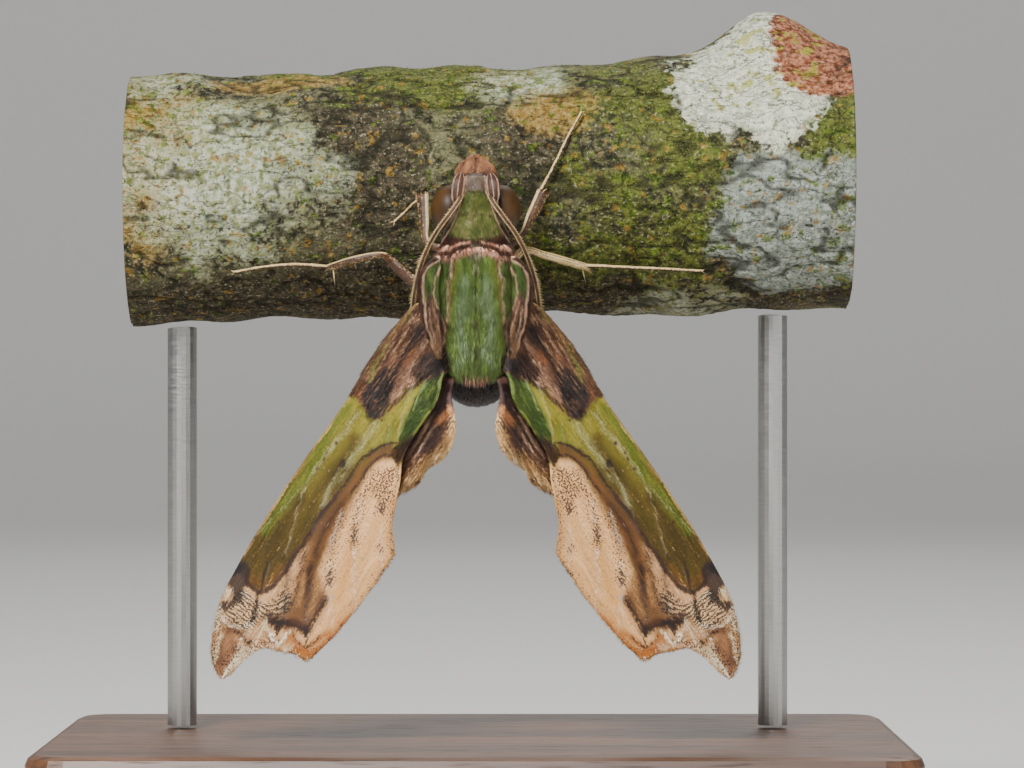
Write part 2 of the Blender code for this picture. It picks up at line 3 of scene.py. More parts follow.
import bpy
import numpy as np
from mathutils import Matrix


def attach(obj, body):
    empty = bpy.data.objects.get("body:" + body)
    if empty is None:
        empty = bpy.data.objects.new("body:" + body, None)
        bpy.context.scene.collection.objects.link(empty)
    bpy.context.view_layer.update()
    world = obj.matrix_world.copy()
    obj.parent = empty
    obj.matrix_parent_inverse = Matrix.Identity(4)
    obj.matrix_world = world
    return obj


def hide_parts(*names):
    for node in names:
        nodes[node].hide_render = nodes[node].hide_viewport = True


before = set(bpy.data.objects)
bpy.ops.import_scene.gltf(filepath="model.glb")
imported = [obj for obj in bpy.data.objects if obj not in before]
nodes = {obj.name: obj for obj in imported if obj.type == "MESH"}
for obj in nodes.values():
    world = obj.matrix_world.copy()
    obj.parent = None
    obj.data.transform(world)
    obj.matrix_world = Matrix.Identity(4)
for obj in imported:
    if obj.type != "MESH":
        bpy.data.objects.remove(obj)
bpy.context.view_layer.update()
mm = 0.001

# General helpers


def linearColour(hexText):
    parts = [int(hexText[i:i + 2], 16) / 255 for i in (1, 3, 5)]
    return tuple(p / 12.92 if p <= 0.04045 else ((p + 0.055) / 1.055) ** 2.4 for p in parts) + (1.0,)


def addNode(tree, kind, settings, output=0):
    # a setting goes to the socket of that name or number, or else to the node, and a colour is hex text; what
    # comes back is the output that other nodes link to
    node = tree.nodes.new("ShaderNode" + kind)
    for key, value in settings.items():
        if isinstance(key, str) and key not in node.inputs:
            setattr(node, key, value)
        elif isinstance(value, bpy.types.NodeSocket):
            tree.links.new(value, node.inputs[key])
        else:
            node.inputs[key].default_value = linearColour(value) if isinstance(value, str) else value
    return node.outputs[output]


# what most colour mixes and ranges are set to
rgba = {"data_type": "RGBA"}
smooth = {"interpolation_type": "SMOOTHSTEP"}


def colourOver(tree, colour, second, value, start, end, strength=1.0):
    # lays the second colour over the first where the value climbs from start to end
    cover = addNode(tree, "MapRange",
                    {**smooth, "Value": value, "From Min": start, "From Max": end, "To Max": strength})
    return addNode(tree, "Mix", {**rgba, 0: cover, 6: colour, 7: second}, 2)


def newMaterial(name):
    material = bpy.data.materials.new(name)
    material.use_nodes = True
    tree = material.node_tree
    shader = tree.nodes["Principled BSDF"]
    return material, tree, shader


def setShader(shader, settings):
    for key, value in settings.items():
        if isinstance(value, bpy.types.NodeSocket):
            shader.id_data.links.new(value, shader.inputs[key])
        else:
            shader.inputs[key].default_value = value


def grainAlong(tree, places, stretch, size, detail):
    # noise of this grain size, drawn out in the directions whose stretch is below one
    return addNode(tree, "TexNoise", {"Vector": addNode(tree, "Mapping",
        {"Vector": places, "Scale": stretch}), "Scale": 1 / size, "Detail": detail}, "Fac")


def shaded(tree, colour, light):
    # the colour made lighter or darker by one number
    return addNode(tree, "Mix", {**rgba, "blend_type": "MULTIPLY", 0: 1.0, 6: colour,
        7: addNode(tree, "CombineColor", {0: light, 1: light, 2: light})}, 2)


def paintLayers(tree, colour, layers, ragged, mottle):
    # each layer: stored value, colour, second colour, soft edge in mm, raggedness in mm, strength
    for value, main, second, soft, rough, strength in layers:
        inside = addNode(tree, "Math", {"operation": "MULTIPLY_ADD", 0: ragged, 1: rough,
            2: addNode(tree, "Attribute", {"attribute_name": value}, "Fac")})
        cover = addNode(tree, "MapRange", {**smooth, "Value": inside, "From Min": -soft, "From Max": soft,
            "To Max": strength})
        colour = addNode(tree, "Mix", {**rgba, 0: cover, 6: colour, 7: addNode(tree, "Mix",
            {**rgba, 0: mottle, 6: main, 7: second}, 2)}, 2)
    return colour


def bumped(tree, shader, height, strength, depth):
    # depth is the real height of the relief in mm
    bump = addNode(tree, "Bump", {"Strength": strength, "Distance": depth * mm, "Height": height})
    tree.links.new(bump, shader.inputs["Normal"])


def smoothPath(points, count):
    rows = np.array(points, float)
    knots = np.concatenate(([0], np.cumsum(np.linalg.norm(np.diff(rows, axis=0), axis=1))))
    slopes = np.gradient(rows, knots, axis=0)
    places = np.linspace(0, knots[-1], count)
    i = np.clip(np.searchsorted(knots, places) - 1, 0, len(knots) - 2)
    span = (knots[i + 1] - knots[i])[:, None]
    t = (places - knots[i])[:, None] / span
    return (rows[i] * (2 * t**3 - 3 * t**2 + 1) + slopes[i] * span * (t**3 - 2 * t**2 + t)
            + rows[i + 1] * (3 * t**2 - 2 * t**3) + slopes[i + 1] * span * (t**3 - t**2))


def waver(points, size, seed, octaves=3):
    # smooth random field between about -1 and 1, with its coarsest lumps of this size
    total, weight = np.zeros(len(points)), 1.0
    for octave in range(octaves):
        place = points / size * 2**octave + seed * 17.3 + octave * 5.7
        base = np.floor(place).astype(np.int64)
        t = place - base
        t = t * t * (3 - 2 * t)
        for corner in np.ndindex(*([2] * points.shape[1])):
            spot = base + np.array(corner)
            key = spot @ np.array([73856093, 19349663, 83492791])[:points.shape[1]] + seed * 7919
            key = ((key ^ (key >> 13)) * 1274126177) & 0xFFFFFFFF
            key = ((key ^ (key >> 15)) * 1911520717) & 0xFFFFFFFF
            total += np.prod(np.where(corner, t, 1 - t), axis=1) * (key / 0x7FFFFFFF - 1) * weight
        weight *= 0.5
    return total


def buildMesh(name, points, faces, material, values=None, maps=None, smooth=True):
    mesh = bpy.data.meshes.new(name)
    faces = np.asarray(faces, np.int32)
    mesh.vertices.add(len(points))
    mesh.vertices.foreach_set("co", (np.asarray(points) * mm).astype(np.float32).ravel())
    mesh.loops.add(faces.size)
    mesh.loops.foreach_set("vertex_index", faces.ravel())
    mesh.polygons.add(len(faces))
    mesh.polygons.foreach_set("loop_start", np.arange(len(faces), dtype=np.int32) * faces.shape[1])
    mesh.update(calc_edges=True)
    mesh.polygons.foreach_set("use_smooth", np.full(len(faces), smooth))
    for key, column in (values or {}).items():
        mesh.attributes.new(key, "FLOAT", "POINT").data.foreach_set("value", column.astype(np.float32))
    for key, places in (maps or {}).items():
        mesh.uv_layers.new(name=key).data.foreach_set("uv", places[faces.ravel()].astype(np.float32).ravel())
    mesh.materials.append(material)
    piece = bpy.data.objects.new(name, mesh)
    bpy.context.scene.collection.objects.link(piece)
    return piece


def gridFaces(rows, columns, closed=False):
    # four-cornered faces over a grid of points, wrapped round its columns if closed
    j, i = np.meshgrid(np.arange(rows - 1), np.arange(columns if closed else columns - 1), indexing="ij")
    n = (i + 1) % columns
    return np.stack([j * columns + i, j * columns + n, (j + 1) * columns + n, (j + 1) * columns + i],
                    axis=-1).reshape(-1, 4)


def ringPlaces(start, end, rows, columns):
    # for each point of a grid that closes on itself, how far along and how far round it lies
    return (np.linspace(start, end, rows).repeat(columns),
            np.tile(np.arange(columns) * 2 * math.pi / columns, rows))


def closedTube(rows, columns):
    # triangles of such a grid with a fan at each end, whose two middle points follow the grid's own
    faces, around, size = gridFaces(rows, columns, True), np.arange(columns), rows * columns
    after = np.roll(around, -1)
    first = np.stack([np.full(columns, size), after, around], axis=1)
    last = np.stack([np.full(columns, size + 1), around + size - columns, after + size - columns], axis=1)
    return np.vstack([faces[:, :3], faces[:, [0, 2, 3]], first, last])


def unrolled(share, turn, shift=0.0):
    # places on a flat map: along, and round in turns, which stay just short of one
    return np.stack([share, turn / 6.29 + shift], axis=1)


def unit(vectors):
    return vectors / np.maximum(np.linalg.norm(vectors, axis=1), 1e-9)[:, None]


def place(piece, slotName, *replaced):
    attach(piece, "root")
    if replaced:
        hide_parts(*replaced)
    return piece


clumping = {"width": 0.20, "length": 1.1}  # mm, of the locks that lie together


def growTufts(name, roots, normals, ways, size, values, bakePlaces, material, seed):
    # thin tapered locks with a three-sided section; a bent one has a second ring half way along
    chance = np.random.default_rng(seed)
    count = len(roots)
    length = size["length"] * chance.uniform(0.7, 1.25, count) * size.get("scale", np.ones(count))
    width = size["width"] * chance.uniform(0.7, 1.3, count)
    lie = unit(ways.mean(0)[None])[0]
    along = (roots @ lie)[:, None] * lie
    clump = np.clip(0.5 + 0.8 * waver((roots - along) / clumping["width"] + along / clumping["length"], 1.0,
                                      seed, 2), 0, 1)
    rise = length * size["lift"] * chance.uniform(0.5, 1.2, count) * (0.55 + clump)
    ways = unit(ways + np.cross(normals, ways) * chance.normal(0, size["stray"], count)[:, None])
    sides = np.cross(normals, ways)
    points = []
    for t, broad in ((0.0, 1.0), (0.5, 0.8))[:1 + size.get("bent", 0)]:
        height = rise * t * (2.2 - 1.2 * t) - 0.05 * (t == 0)
        centre = roots + ways * (length * t)[:, None] + normals * height[:, None]
        for angle in (math.radians(a) for a in (90, 210, 330)):
            points.append(centre + sides * (math.cos(angle) * width * broad / 2)[:, None]
                          + normals * (math.sin(angle) * width * broad * size["thick"] / 2)[:, None])
    points.append(roots + ways * length[:, None] + normals * rise[:, None])
    each = len(points)
    points = np.stack(points, axis=1).reshape(-1, 3)
    one = [(0, 2, 1), (0, 1, 3), (1, 2, 3), (2, 0, 3)]
    if each == 7:
        one = [(0, 2, 1), (0, 1, 4), (0, 4, 3), (1, 2, 5), (1, 5, 4), (2, 0, 3), (2, 3, 5), (3, 4, 6),
               (4, 5, 6), (5, 3, 6)]
    faces = (np.arange(count)[:, None, None] * each + np.array(one)).reshape(-1, 3)
    patch = np.array([(0, 0), (1, 0), (2, 0), (0, 1.5), (1, 1.5), (2, 1.5)][:each - 1] + [(1, 3)]) * 0.001
    spread = {key: np.repeat(column, each) for key, column in values.items()}
    spread["strand"] = np.repeat(0.35 * chance.uniform(0, 1, count) + 0.65 * clump, each)
    spread["tip"] = np.tile([0, 0, 0, 0.5, 0.5, 0.5][:each - 1] + [1], count)
    bake = ((bakePlaces % 1.0)[:, None, :] * 0.99 + patch).reshape(-1, 2)
    return buildMesh(name, points, faces, material, spread, {"OFBake": bake})


# Camera and light

photo = {"focus": 150.0, "sensor": 36.0, "eyeX": 2.81, "eyeY": -341.0, "eyeZ": 32.0, "width": 1024,
         "height": 768}
mothOrigin = np.array([0.0, -9.7, 38.46])  # the thorax centre, in mm
middleColumn = 475.5  # the picture column of the moth's middle line
pixelsPerMm = 13.0


def picturePlaces(points):
    # where each point falls in the photograph's frame, in pixels
    scale = photo["focus"] / photo["sensor"] * photo["width"] / (points[:, 1] - photo["eyeY"])
    return np.stack([photo["width"] / 2 + (points[:, 0] - photo["eyeX"]) * scale,
                     photo["height"] / 2 - (points[:, 2] - photo["eyeZ"]) * scale], axis=1)


def makeCamera():
    data = bpy.data.cameras.new("photo_camera")
    data.lens, data.sensor_width = photo["focus"], photo["sensor"]
    data.clip_start, data.clip_end = 0.01, 10
    camera = bpy.data.objects.new("photo_camera", data)
    camera.location = [photo[key] * mm for key in ("eyeX", "eyeY", "eyeZ")]
    camera.rotation_euler = (math.pi / 2, 0, 0)
    bpy.context.scene.collection.objects.link(camera)
    bpy.context.scene.camera = camera


# Each lamp: power in watts, then size, place and target in metres
lamps = {"key_light": (3.0, 0.14, (-0.10, -0.30, 0.30), (0, 0, 0.04)),
         "fill_light": (0.40, 0.35, (0.30, -0.30, 0.14), (0, 0, 0.035)),
         "rim_light": (0.6, 0.25, (0.05, 0.28, 0.30), (0, 0, 0.04))}
studioLight = {"colour": "#E8ECF2", "strength": 0.20}


def addLight(name, power, size, location, target):
    data = bpy.data.lights.new(name, "AREA")
    data.energy, data.size = power, size
    lamp = bpy.data.objects.new(name, data)
    lamp.location = location
    aim = np.array(target) - np.array(location)
    lamp.rotation_euler = (math.acos(-aim[2] / np.linalg.norm(aim)), 0,
                           math.atan2(aim[1], aim[0]) - math.pi / 2)
    bpy.context.scene.collection.objects.link(lamp)


def makeLights():
    for name, settings in lamps.items():
        addLight(name, *settings)
    world = bpy.data.worlds.new("studio")
    world.use_nodes = True
    setShader(world.node_tree.nodes["Background"],
              {"Color": linearColour(studioLight["colour"]), "Strength": studioLight["strength"]})
    bpy.context.scene.world = world


def makeFloor():
    # pale paper sweep: flat under the stand, curving up behind it
    profile = smoothPath([(-700, 0), (-200, 0), (420, 0), (560, 20), (650, 110), (690, 280), (700, 800)], 60)
    across = np.linspace(-900, 900, 3)
    points = np.array([(x, y, z) for y, z in profile for x in across])
    material, tree, shader = newMaterial("matt paper backdrop")
    place3 = addNode(tree, "TexCoord", {}, "Object")
    grain = addNode(tree, "TexNoise", {"Vector": place3, "Scale": 1 / (2.0 * mm), "Detail": 4}, "Fac")
    colour = addNode(tree, "Mix", {**rgba, 0: grain, 6: "#ECEAE5", 7: "#F0EEEA"}, 2)
    setShader(shader, {"Base Color": colour, "Roughness": 0.9, "Specular IOR Level": 0.2})
    floor = buildMesh("floor", points, gridFaces(len(profile), 3), material)


makeCamera()
makeLights()
makeFloor()
print("camera, lights and floor made")

# Marks

markReach = 8.0  # how far from a mark's edge its stored value runs, in picture pixels


def lineDistance(places, line):
    best = np.full(len(places), 1e9)
    for a, b in zip(line[:-1], line[1:]):
        way = b - a
        t = np.clip(((places - a) @ way) / max(way @ way, 1e-9), 0, 1)
        best = np.minimum(best, np.hypot(*(places - a - t[:, None] * way).T))
    return best


def outlineDepth(places, outline):
    # distance from the outline, positive inside it
    inside = np.zeros(len(places), bool)
    u, v = places.T
    for a, b in zip(outline[:-1], outline[1:]):
        if a[1] != b[1]:
            inside ^= ((a[1] > v) != (b[1] > v)) & (u < (b[0] - a[0]) * (v - a[1]) / (b[1] - a[1]) + a[0])
    return np.where(inside, 1, -1) * lineDistance(places, outline)


def markValues(places, marks, wobble=1.0):
    # a mark is a half width with the points of its line, or no width with the points of its outline
    wave = [waver(places, size, seed, 2) for size, seed in ((11.0, 1), (11.0, 2), (4.0, 3), (4.0, 4))]
    places = places + wobble * np.stack([1.0 * wave[0] + 0.5 * wave[2], 1.0 * wave[1] + 0.5 * wave[3]],
        axis=1)
    values = {}
    for name, shapes in marks.items():
        best = np.full(len(places), -markReach)
        for width, points in shapes:
            points = np.array(points, float)
            if width is None:
                points = np.vstack([points, points[:1]])
            line = smoothPath(points, 3 * len(points)) if len(points) > 2 else points
            near = np.all((places > line.min(0) - markReach) & (places < line.max(0) + markReach), axis=1)
            if near.any():
                depth = (outlineDepth(places[near], line) if width is None
                         else width - lineDistance(places[near], line))
                best[near] = np.maximum(best[near], depth)
        values[name] = np.clip(best, -markReach, markReach) / pixelsPerMm
    return values


# Wings

wingShape = {"hinge": (3.4, -2.3), "angle": math.radians(56.3), "lean": 0.6, "sweep": 0.05, "camber": 0.5,
             "camberCentre": 2.0, "camberReach": 4.5, "halfThick": 0.13, "veinHeight": 0.1, "hindDepth": 1.35,
             "tuck": 2.4, "tuckEdge": (508, 380), "tuckFade": 12, "swell": 0.10, "swellSize": 1.4,
             "veinEdge": 0.05, "veinWidth": 0.09, "sideThinning": 14, "endThinning": 16, "rimShare": 0.35}

# Border points of the right forewing in mm from the thorax centre, x and z, seen from the moth's back
foreCosta = ((2.8, 0.1), (4.5, -0.1), (6.0, -1.5), (8.0, -4.1), (9.8, -7.2), (12.9, -11.6), (16.2, -16.5),
             (18.3, -20.3))
foreMargin = ((18.3, -20.3), (18.8, -21.0), (19.3, -21.8), (20.2, -23.9), (20.6, -25.9), (20.7, -27.6),
              (20.3, -28.8), (19.8, -29.4), (19.2, -29.1), (18.4, -28.3), (17.5, -27.5), (16.5, -26.9),
              (15.3, -27.1), (14.1, -27.3), (13.0, -27.8), (12.1, -27.1), (11.0, -26.0), (10.0, -24.8),
              (9.0, -23.6), (7.9, -22.1), (6.9, -20.6), (6.4, -19.8), (6.2, -19.1))
foreInner = ((1.5, -5.0), (2.4, -5.7), (2.9, -7.5), (4.0, -9.4), (5.1, -10.9), (5.6, -12.0), (5.8, -13.9),
             (6.1, -15.6), (6.4, -17.3), (6.2, -19.1))
hindCosta = ((2.3, -2.7), (4.3, -5.0), (7.0, -10.0), (9.7, -15.5), (11.8, -20.2))
hindMargin = ((11.8, -20.2), (12.0, -21.4), (11.4, -22.4), (10.2, -21.5), (9.3, -20.3), (8.2, -18.7),
              (7.4, -17.0), (6.5, -15.6), (5.8, -14.8), (5.0, -14.5), (4.3, -14.0), (3.9, -13.2),
              (3.4, -12.7), (2.7, -12.3), (1.9, -11.3))
hindInner = ((1.5, -5.6), (1.9, -7.1), (1.7, -8.6), (1.55, -9.8), (1.9, -11.3))

# Marks of the right forewing as picture pixels of the photograph; the left one is its mirror image
foreMarks = {
    "greenStripe": [
        (5.0, [(606, 408), (621, 430), (642, 471), (670, 506), (688, 531)]),
        (3, [(560, 430), (568, 446), (580, 452)])],
    "oliveShade": [
        (6, [(596, 440), (616, 470), (640, 505)]), (8, [(606, 470), (622, 500), (640, 528), (655, 550)]),
        (7, [(650, 500), (672, 535), (690, 575)]), (5, [(664, 552), (674, 574), (684, 586)])],
    "paleBand": [
        (3.2, [(575, 422), (585, 438), (601, 459), (606, 466)]), (1.6, [(595, 412), (612, 438), (625, 453)]),
        (2.2, [(609, 476), (620, 484), (627, 505)])],
    "basePatch": [
        (None, [(490, 300), (515, 285), (545, 296), (562, 320), (578, 343), (596, 362), (607, 388),
                (598, 395), (592, 403), (587, 411), (582, 417), (576, 421), (568, 414), (563, 406),
                (550, 394), (536, 385), (526, 380), (512, 374), (500, 372), (488, 362)])],
    "foldBrown": [
        (None, [(500, 384), (508, 392), (520, 412), (535, 431), (548, 438), (556, 446), (551, 462),
                (546, 478), (538, 470), (520, 440), (500, 410)])],
    "basePale": [
        (None, [(538, 361), (549, 368), (558, 384), (566, 402), (556, 400), (545, 391), (534, 377)]),
        (3.8, [(526, 341), (532, 352), (537, 363)]), (3, [(536, 318), (551, 323)]),
        (4, [(544, 366), (552, 380)]), (1.2, [(522, 366), (534, 374), (545, 388)]),
        (0.6, [(527, 356), (540, 374), (552, 388)])],
    "baseLine": [
        (0.8, [(543, 330), (552, 342), (560, 356)]), (0.7, [(543, 341), (551, 354), (560, 368), (572, 388)]),
        (0.6, [(530, 318), (541, 338), (552, 360)]), (0.6, [(556, 366), (566, 384), (576, 404)]),
        (0.5, [(536, 316), (548, 338), (560, 362), (572, 384)]),
        (0.5, [(545, 318), (557, 338), (570, 362), (580, 382)])],
    "baseOrange": [
        (4, [(537, 352), (544, 360)]), (1.8, [(588, 386), (591, 396)]),
        (1.6, [(547, 392), (556, 400), (565, 412)]), (2, [(560, 372), (568, 384)])],
    "baseDark": [
        (None, [(523, 322), (534, 322), (541, 334), (549, 350), (556, 360), (568, 368), (580, 381),
                (590, 396), (586, 409), (577, 420), (568, 412), (562, 396), (557, 380), (549, 364),
                (541, 348), (531, 338)]),
        (None, [(516, 350), (525, 353), (534, 366), (538, 377), (530, 381), (519, 374), (513, 362)]),
        (1.5, [(512, 374), (526, 381), (545, 392), (563, 408), (571, 419)])],
    "baseGreen": [(2.2, [(566, 345), (574, 362), (581, 381)]), (1.6, [(540, 314), (550, 322)])],
    "lobeGreen": [
        (None, [(505, 371), (512, 369), (522, 377), (531, 388), (538, 400), (544, 413), (549, 426),
                (552, 439), (541, 435), (530, 424), (518, 408), (509, 392), (504, 380)])],
    "brownBand": [
        (None, [(549, 462), (551, 450), (557, 444), (567, 446), (578, 452), (588, 462), (597, 477),
                (607, 494), (619, 509), (630, 523), (640, 541), (649, 556), (644, 566), (634, 560),
                (627, 548), (620, 533), (611, 518), (601, 502), (592, 487), (582, 472), (572, 462),
                (562, 458)])],
    "brownFade": [
        (None, [(592, 470), (604, 484), (616, 500), (628, 516), (638, 532), (645, 546), (650, 562),
                (654, 580), (660, 597), (668, 609), (684, 620), (672, 628), (660, 628), (646, 634),
                (639, 628), (632, 616), (626, 604), (623, 594), (629, 584), (632, 572), (629, 558),
                (622, 542), (613, 526), (602, 506), (592, 487)])],
    "fadeDeep": [
        (3.4, [(625, 597), (631, 609), (637, 621), (644, 632)]),
        (6.0, [(644, 629), (655, 625), (670, 623), (684, 619)]),
        (2.2, [(640, 563), (642, 582), (644, 604), (646, 618)]),
        (2.4, [(610, 503), (623, 522), (632, 540), (637, 556)]),
        (2.0, [(647, 552), (651, 575), (658, 598), (664, 609)])],
    "fadeTan": [(2.0, [(632, 588), (637, 600), (643, 614)]), (1.6, [(647, 576), (650, 592), (653, 604)])],
    "duskyLine": [
        (3.2,
         [(560, 445), (577, 451), (592, 464), (606, 486), (621, 505), (634, 522), (646, 543), (655, 560)]),
        (2.6, [(560, 456), (573, 459), (584, 471), (596, 489)]), (3.0, [(656, 552), (661, 564), (664, 574)]),
        (3.4, [(709, 634), (717, 631), (726, 630)]), (2.2, [(730, 640), (733, 664)])],
    "beigeField": [
        (None, [(543, 480), (548, 466), (556, 459), (566, 457), (575, 462), (583, 471), (591, 483),
                (599, 494), (608, 507), (616, 520), (622, 534), (628, 550), (634, 568), (646, 596),
                (660, 612), (665, 624), (660, 640), (655, 664), (630, 664), (600, 640), (560, 590),
                (535, 560), (530, 510)])],
    "fieldShade": [
        (7, [(545, 500), (548, 540), (560, 575), (590, 610), (620, 640)]),
        (5, [(598, 545), (606, 575), (614, 600)])],
    "tanShade": [
        (5, [(559, 566), (575, 590), (600, 621), (628, 650)]), (4, [(556, 500), (558, 530), (556, 552)]),
        (3, [(609, 512), (618, 530), (622, 552)])],
    "tipGround": [
        (None, [(640, 540), (655, 550), (666, 567), (674, 578), (682, 588), (690, 591), (698, 590),
                (705, 584), (710, 574), (722, 578), (735, 596), (750, 630), (752, 690), (728, 696),
                (700, 664), (675, 656), (652, 668), (648, 644), (654, 632), (650, 610), (645, 570)])],
    "lobeTip": [(3.4, [(670, 568), (678, 580), (686, 587)]), (3.6, [(693, 583), (699, 584), (703, 578)])],
    "tipBrown": [
        (None, [(731, 619), (728, 628), (731, 637), (734, 648), (737, 662), (741, 670), (738, 678),
                (730, 679), (723, 668), (718, 656), (713, 647), (715, 639), (707, 637), (708, 630),
                (716, 623), (724, 620)]),
        (2.6, [(701, 643), (708, 638)])],
    "charcoal": [
        (None, [(500, 338), (511, 344), (514, 360), (512, 371), (503, 372), (497, 358)]),
        (None,
         [(557, 374), (566, 369), (578, 380), (589, 394), (588, 408), (578, 419), (569, 411), (561, 394)]),
        (None, [(524, 324), (531, 323), (538, 334), (539, 342), (531, 341), (526, 334)]),
        (None, [(703, 570), (708, 561), (714, 562), (722, 574), (725, 585), (720, 592), (723, 600),
                (730, 601), (734, 609), (728, 612), (718, 604), (710, 600), (707, 588), (704, 580)]),
        (2.0, [(694, 594), (695, 606), (698, 618), (701, 624)]),
        (1.3, [(665, 571), (665, 585), (666, 600), (669, 614)]),
        (1.2, [(737, 622), (740, 636), (741, 660)])],
    "orange": [
        (2.4, [(622, 632), (634, 641), (645, 649), (656, 643), (663, 632)]),
        (7.0, [(628, 650), (640, 657), (654, 650)]), (5.0, [(600, 620), (616, 636), (632, 650)]),
        (1.6, [(670, 640), (676, 648), (690, 642)]), (2.0, [(656, 634), (664, 638), (668, 642)]),
        (2.0, [(690, 622), (693, 630)])],
    "darkLine": [
        (1.3, [(554, 443), (563, 444), (573, 447), (585, 455), (596, 467), (606, 484)]),
        (1.6, [(606, 484), (621, 504), (632, 517), (640, 532), (649, 545)]), (2.2, [(649, 545), (658, 556),
            (664, 567), (672, 578), (680, 588), (688, 592), (694, 592), (701, 588), (706, 581), (704, 568)]),
        (1.0, [(553, 464), (560, 456), (569, 455), (577, 462), (585, 472), (592, 483), (600, 494)]),
        (1.2, [(684, 562), (687, 574), (689, 592)]), (0.9, [(640, 566), (643, 580), (645, 596), (646, 616)]),
        (0.8, [(627, 602), (631, 610), (638, 620), (646, 629)]), (2.6, [(664, 623), (673, 622), (683, 620)]),
        (1.6, [(646, 629), (656, 626), (666, 624)]), (2.4, [(645, 628), (645, 634)]),
        (2.4, [(673, 624), (673.5, 631)]), (0.9, [(673.5, 631), (673, 642)]),
        (1.0, [(645, 634), (645, 648)]),
        (0.8, [(632, 637), (638, 644), (645, 648), (653, 643), (658, 636), (660, 630)]),
        (0.9, [(674, 643), (681, 639), (686, 631)]), (0.8, [(735, 652), (738, 670)]),
        (2.0, [(700, 643), (706, 641)]), (1.6, [(712, 633), (718, 632)]), (3.5, [(610, 464), (610, 465)]),
        (0.8, [(614, 470), (620, 477)]), (1.2, [(615, 443.5), (616, 444)]),
        (1.2, [(625, 453), (625.5, 453.5)]), (1.1, [(628, 459), (628, 460)]),
        (1.2, [(633, 468), (634, 469)]), (1.2, [(673, 522), (673, 523)]), (0.8, [(658, 477), (659, 479)]),
        (0.8, [(661, 484), (662, 486)]), (0.9, [(678, 511), (679, 513)])],
    "rippleZone": [
        (None, [(660, 592), (668, 590), (680, 600), (692, 602), (700, 596), (709, 588), (718, 594),
                (724, 602), (729, 608), (728, 614), (720, 624), (709, 630), (698, 629), (690, 621),
                (676, 618), (666, 616), (658, 606)])],
    "paleSpot": [
        (None, [(719, 590), (724, 586), (728, 594), (729, 600), (724, 597)]),
        (None, [(728, 612), (733, 607), (737, 618), (739, 632), (735, 631), (731, 620)]),
        (1.4, [(730, 634), (735, 648), (739, 664)]), (0.9, [(741, 640), (743, 656), (741, 668)]), (None,
            [(710, 640), (717, 652), (722, 662), (729, 679), (720, 672), (713, 664), (704, 658), (697, 650),
             (704, 647)]), (1.3, [(661, 631), (667, 638), (672, 643), (678, 638), (683, 631), (687, 625)]),
        (1.7, [(686, 619), (690, 628), (697, 643), (699, 652)]),
        (1.5, [(734, 610), (730, 618), (723, 624), (712, 627), (700, 625)])],
    "paleGrain": [
        (0.5, [(667, 577), (673, 584), (680, 590)]), (1.5, [(702, 598), (708, 594)]),
        (1.6, [(696, 628), (704, 636)]), (2.0, [(660, 650), (676, 648), (690, 646)])],
    "veinPale": [
        (0.7, [(577, 424), (584, 439), (598, 454), (610, 465), (621, 483), (631, 509), (641, 534)]),
        (0.7, [(594, 412), (616, 442), (635, 469), (654, 492), (681, 520), (703, 544), (717, 563)]),
        (0.6, [(610, 430), (627, 453), (642, 476), (652, 500), (660, 530), (666, 556)]),
        (0.7, [(526, 380), (534, 397), (540, 410)]), (0.9, [(538, 384), (546, 403), (551, 421), (554, 442)]),
        (0.6, [(662, 566), (667, 592), (671, 620)]), (0.6, [(684, 563), (689, 590), (696, 618)]),
        (0.6, [(562, 424), (565, 440), (566, 446)]), (0.9, [(520, 418), (532, 436), (544, 454), (549, 470)]),
        (0.7, [(514, 414), (528, 438), (541, 460)])],
    "fieldVein": [
        (1.0, [(571, 530), (570, 552), (569, 575)]), (1.1, [(592, 500), (596, 525), (597, 565), (595, 612)]),
        (1.1, [(610, 512), (619, 535), (622, 556), (622, 590), (621, 625)]),
        (0.6, [(643, 586), (645, 600), (646, 620)]), (0.8, [(668, 640), (690, 652), (700, 658)])],
    "fieldOchre": [
        (5, [(556, 506), (560, 530), (558, 556), (566, 572)]),
        (3.5, [(570, 562), (590, 588), (606, 610), (622, 628)]),
        (2.5, [(574, 520), (586, 556), (600, 586)])],
    "dotted": [
        (2.0, [(596, 526), (597, 542)]), (1.8, [(621, 572), (622, 582)]), (1.2, [(570, 548), (570, 552)]),
        (1.0, [(643, 580), (646, 612)]), (1.2, [(569, 500), (570, 510)])],
    "edgeTan": [(1.6, [(531, 299), (552, 323), (568, 347), (587, 369), (602, 393), (640, 450), (665, 484),
                       (690, 525), (709, 553)])],
    "speckle": [
        (14, [(560, 475), (571, 489)]), (9, [(562, 492), (570, 510)]), (8, [(574, 474), (584, 490)]),
        (6, [(582, 486), (592, 505), (598, 545)]), (5, [(608, 515), (617, 545), (622, 582)]),
        (5.5, [(558, 512), (557, 552)]), (2, [(560, 560), (600, 612)]), (7, [(716, 650), (730, 672)]),
        (7, [(732, 604), (740, 660)]), (3, [(600, 625), (640, 652)]), (4, [(660, 580), (668, 600)]),
        (7, [(680, 640), (700, 650)])],
}

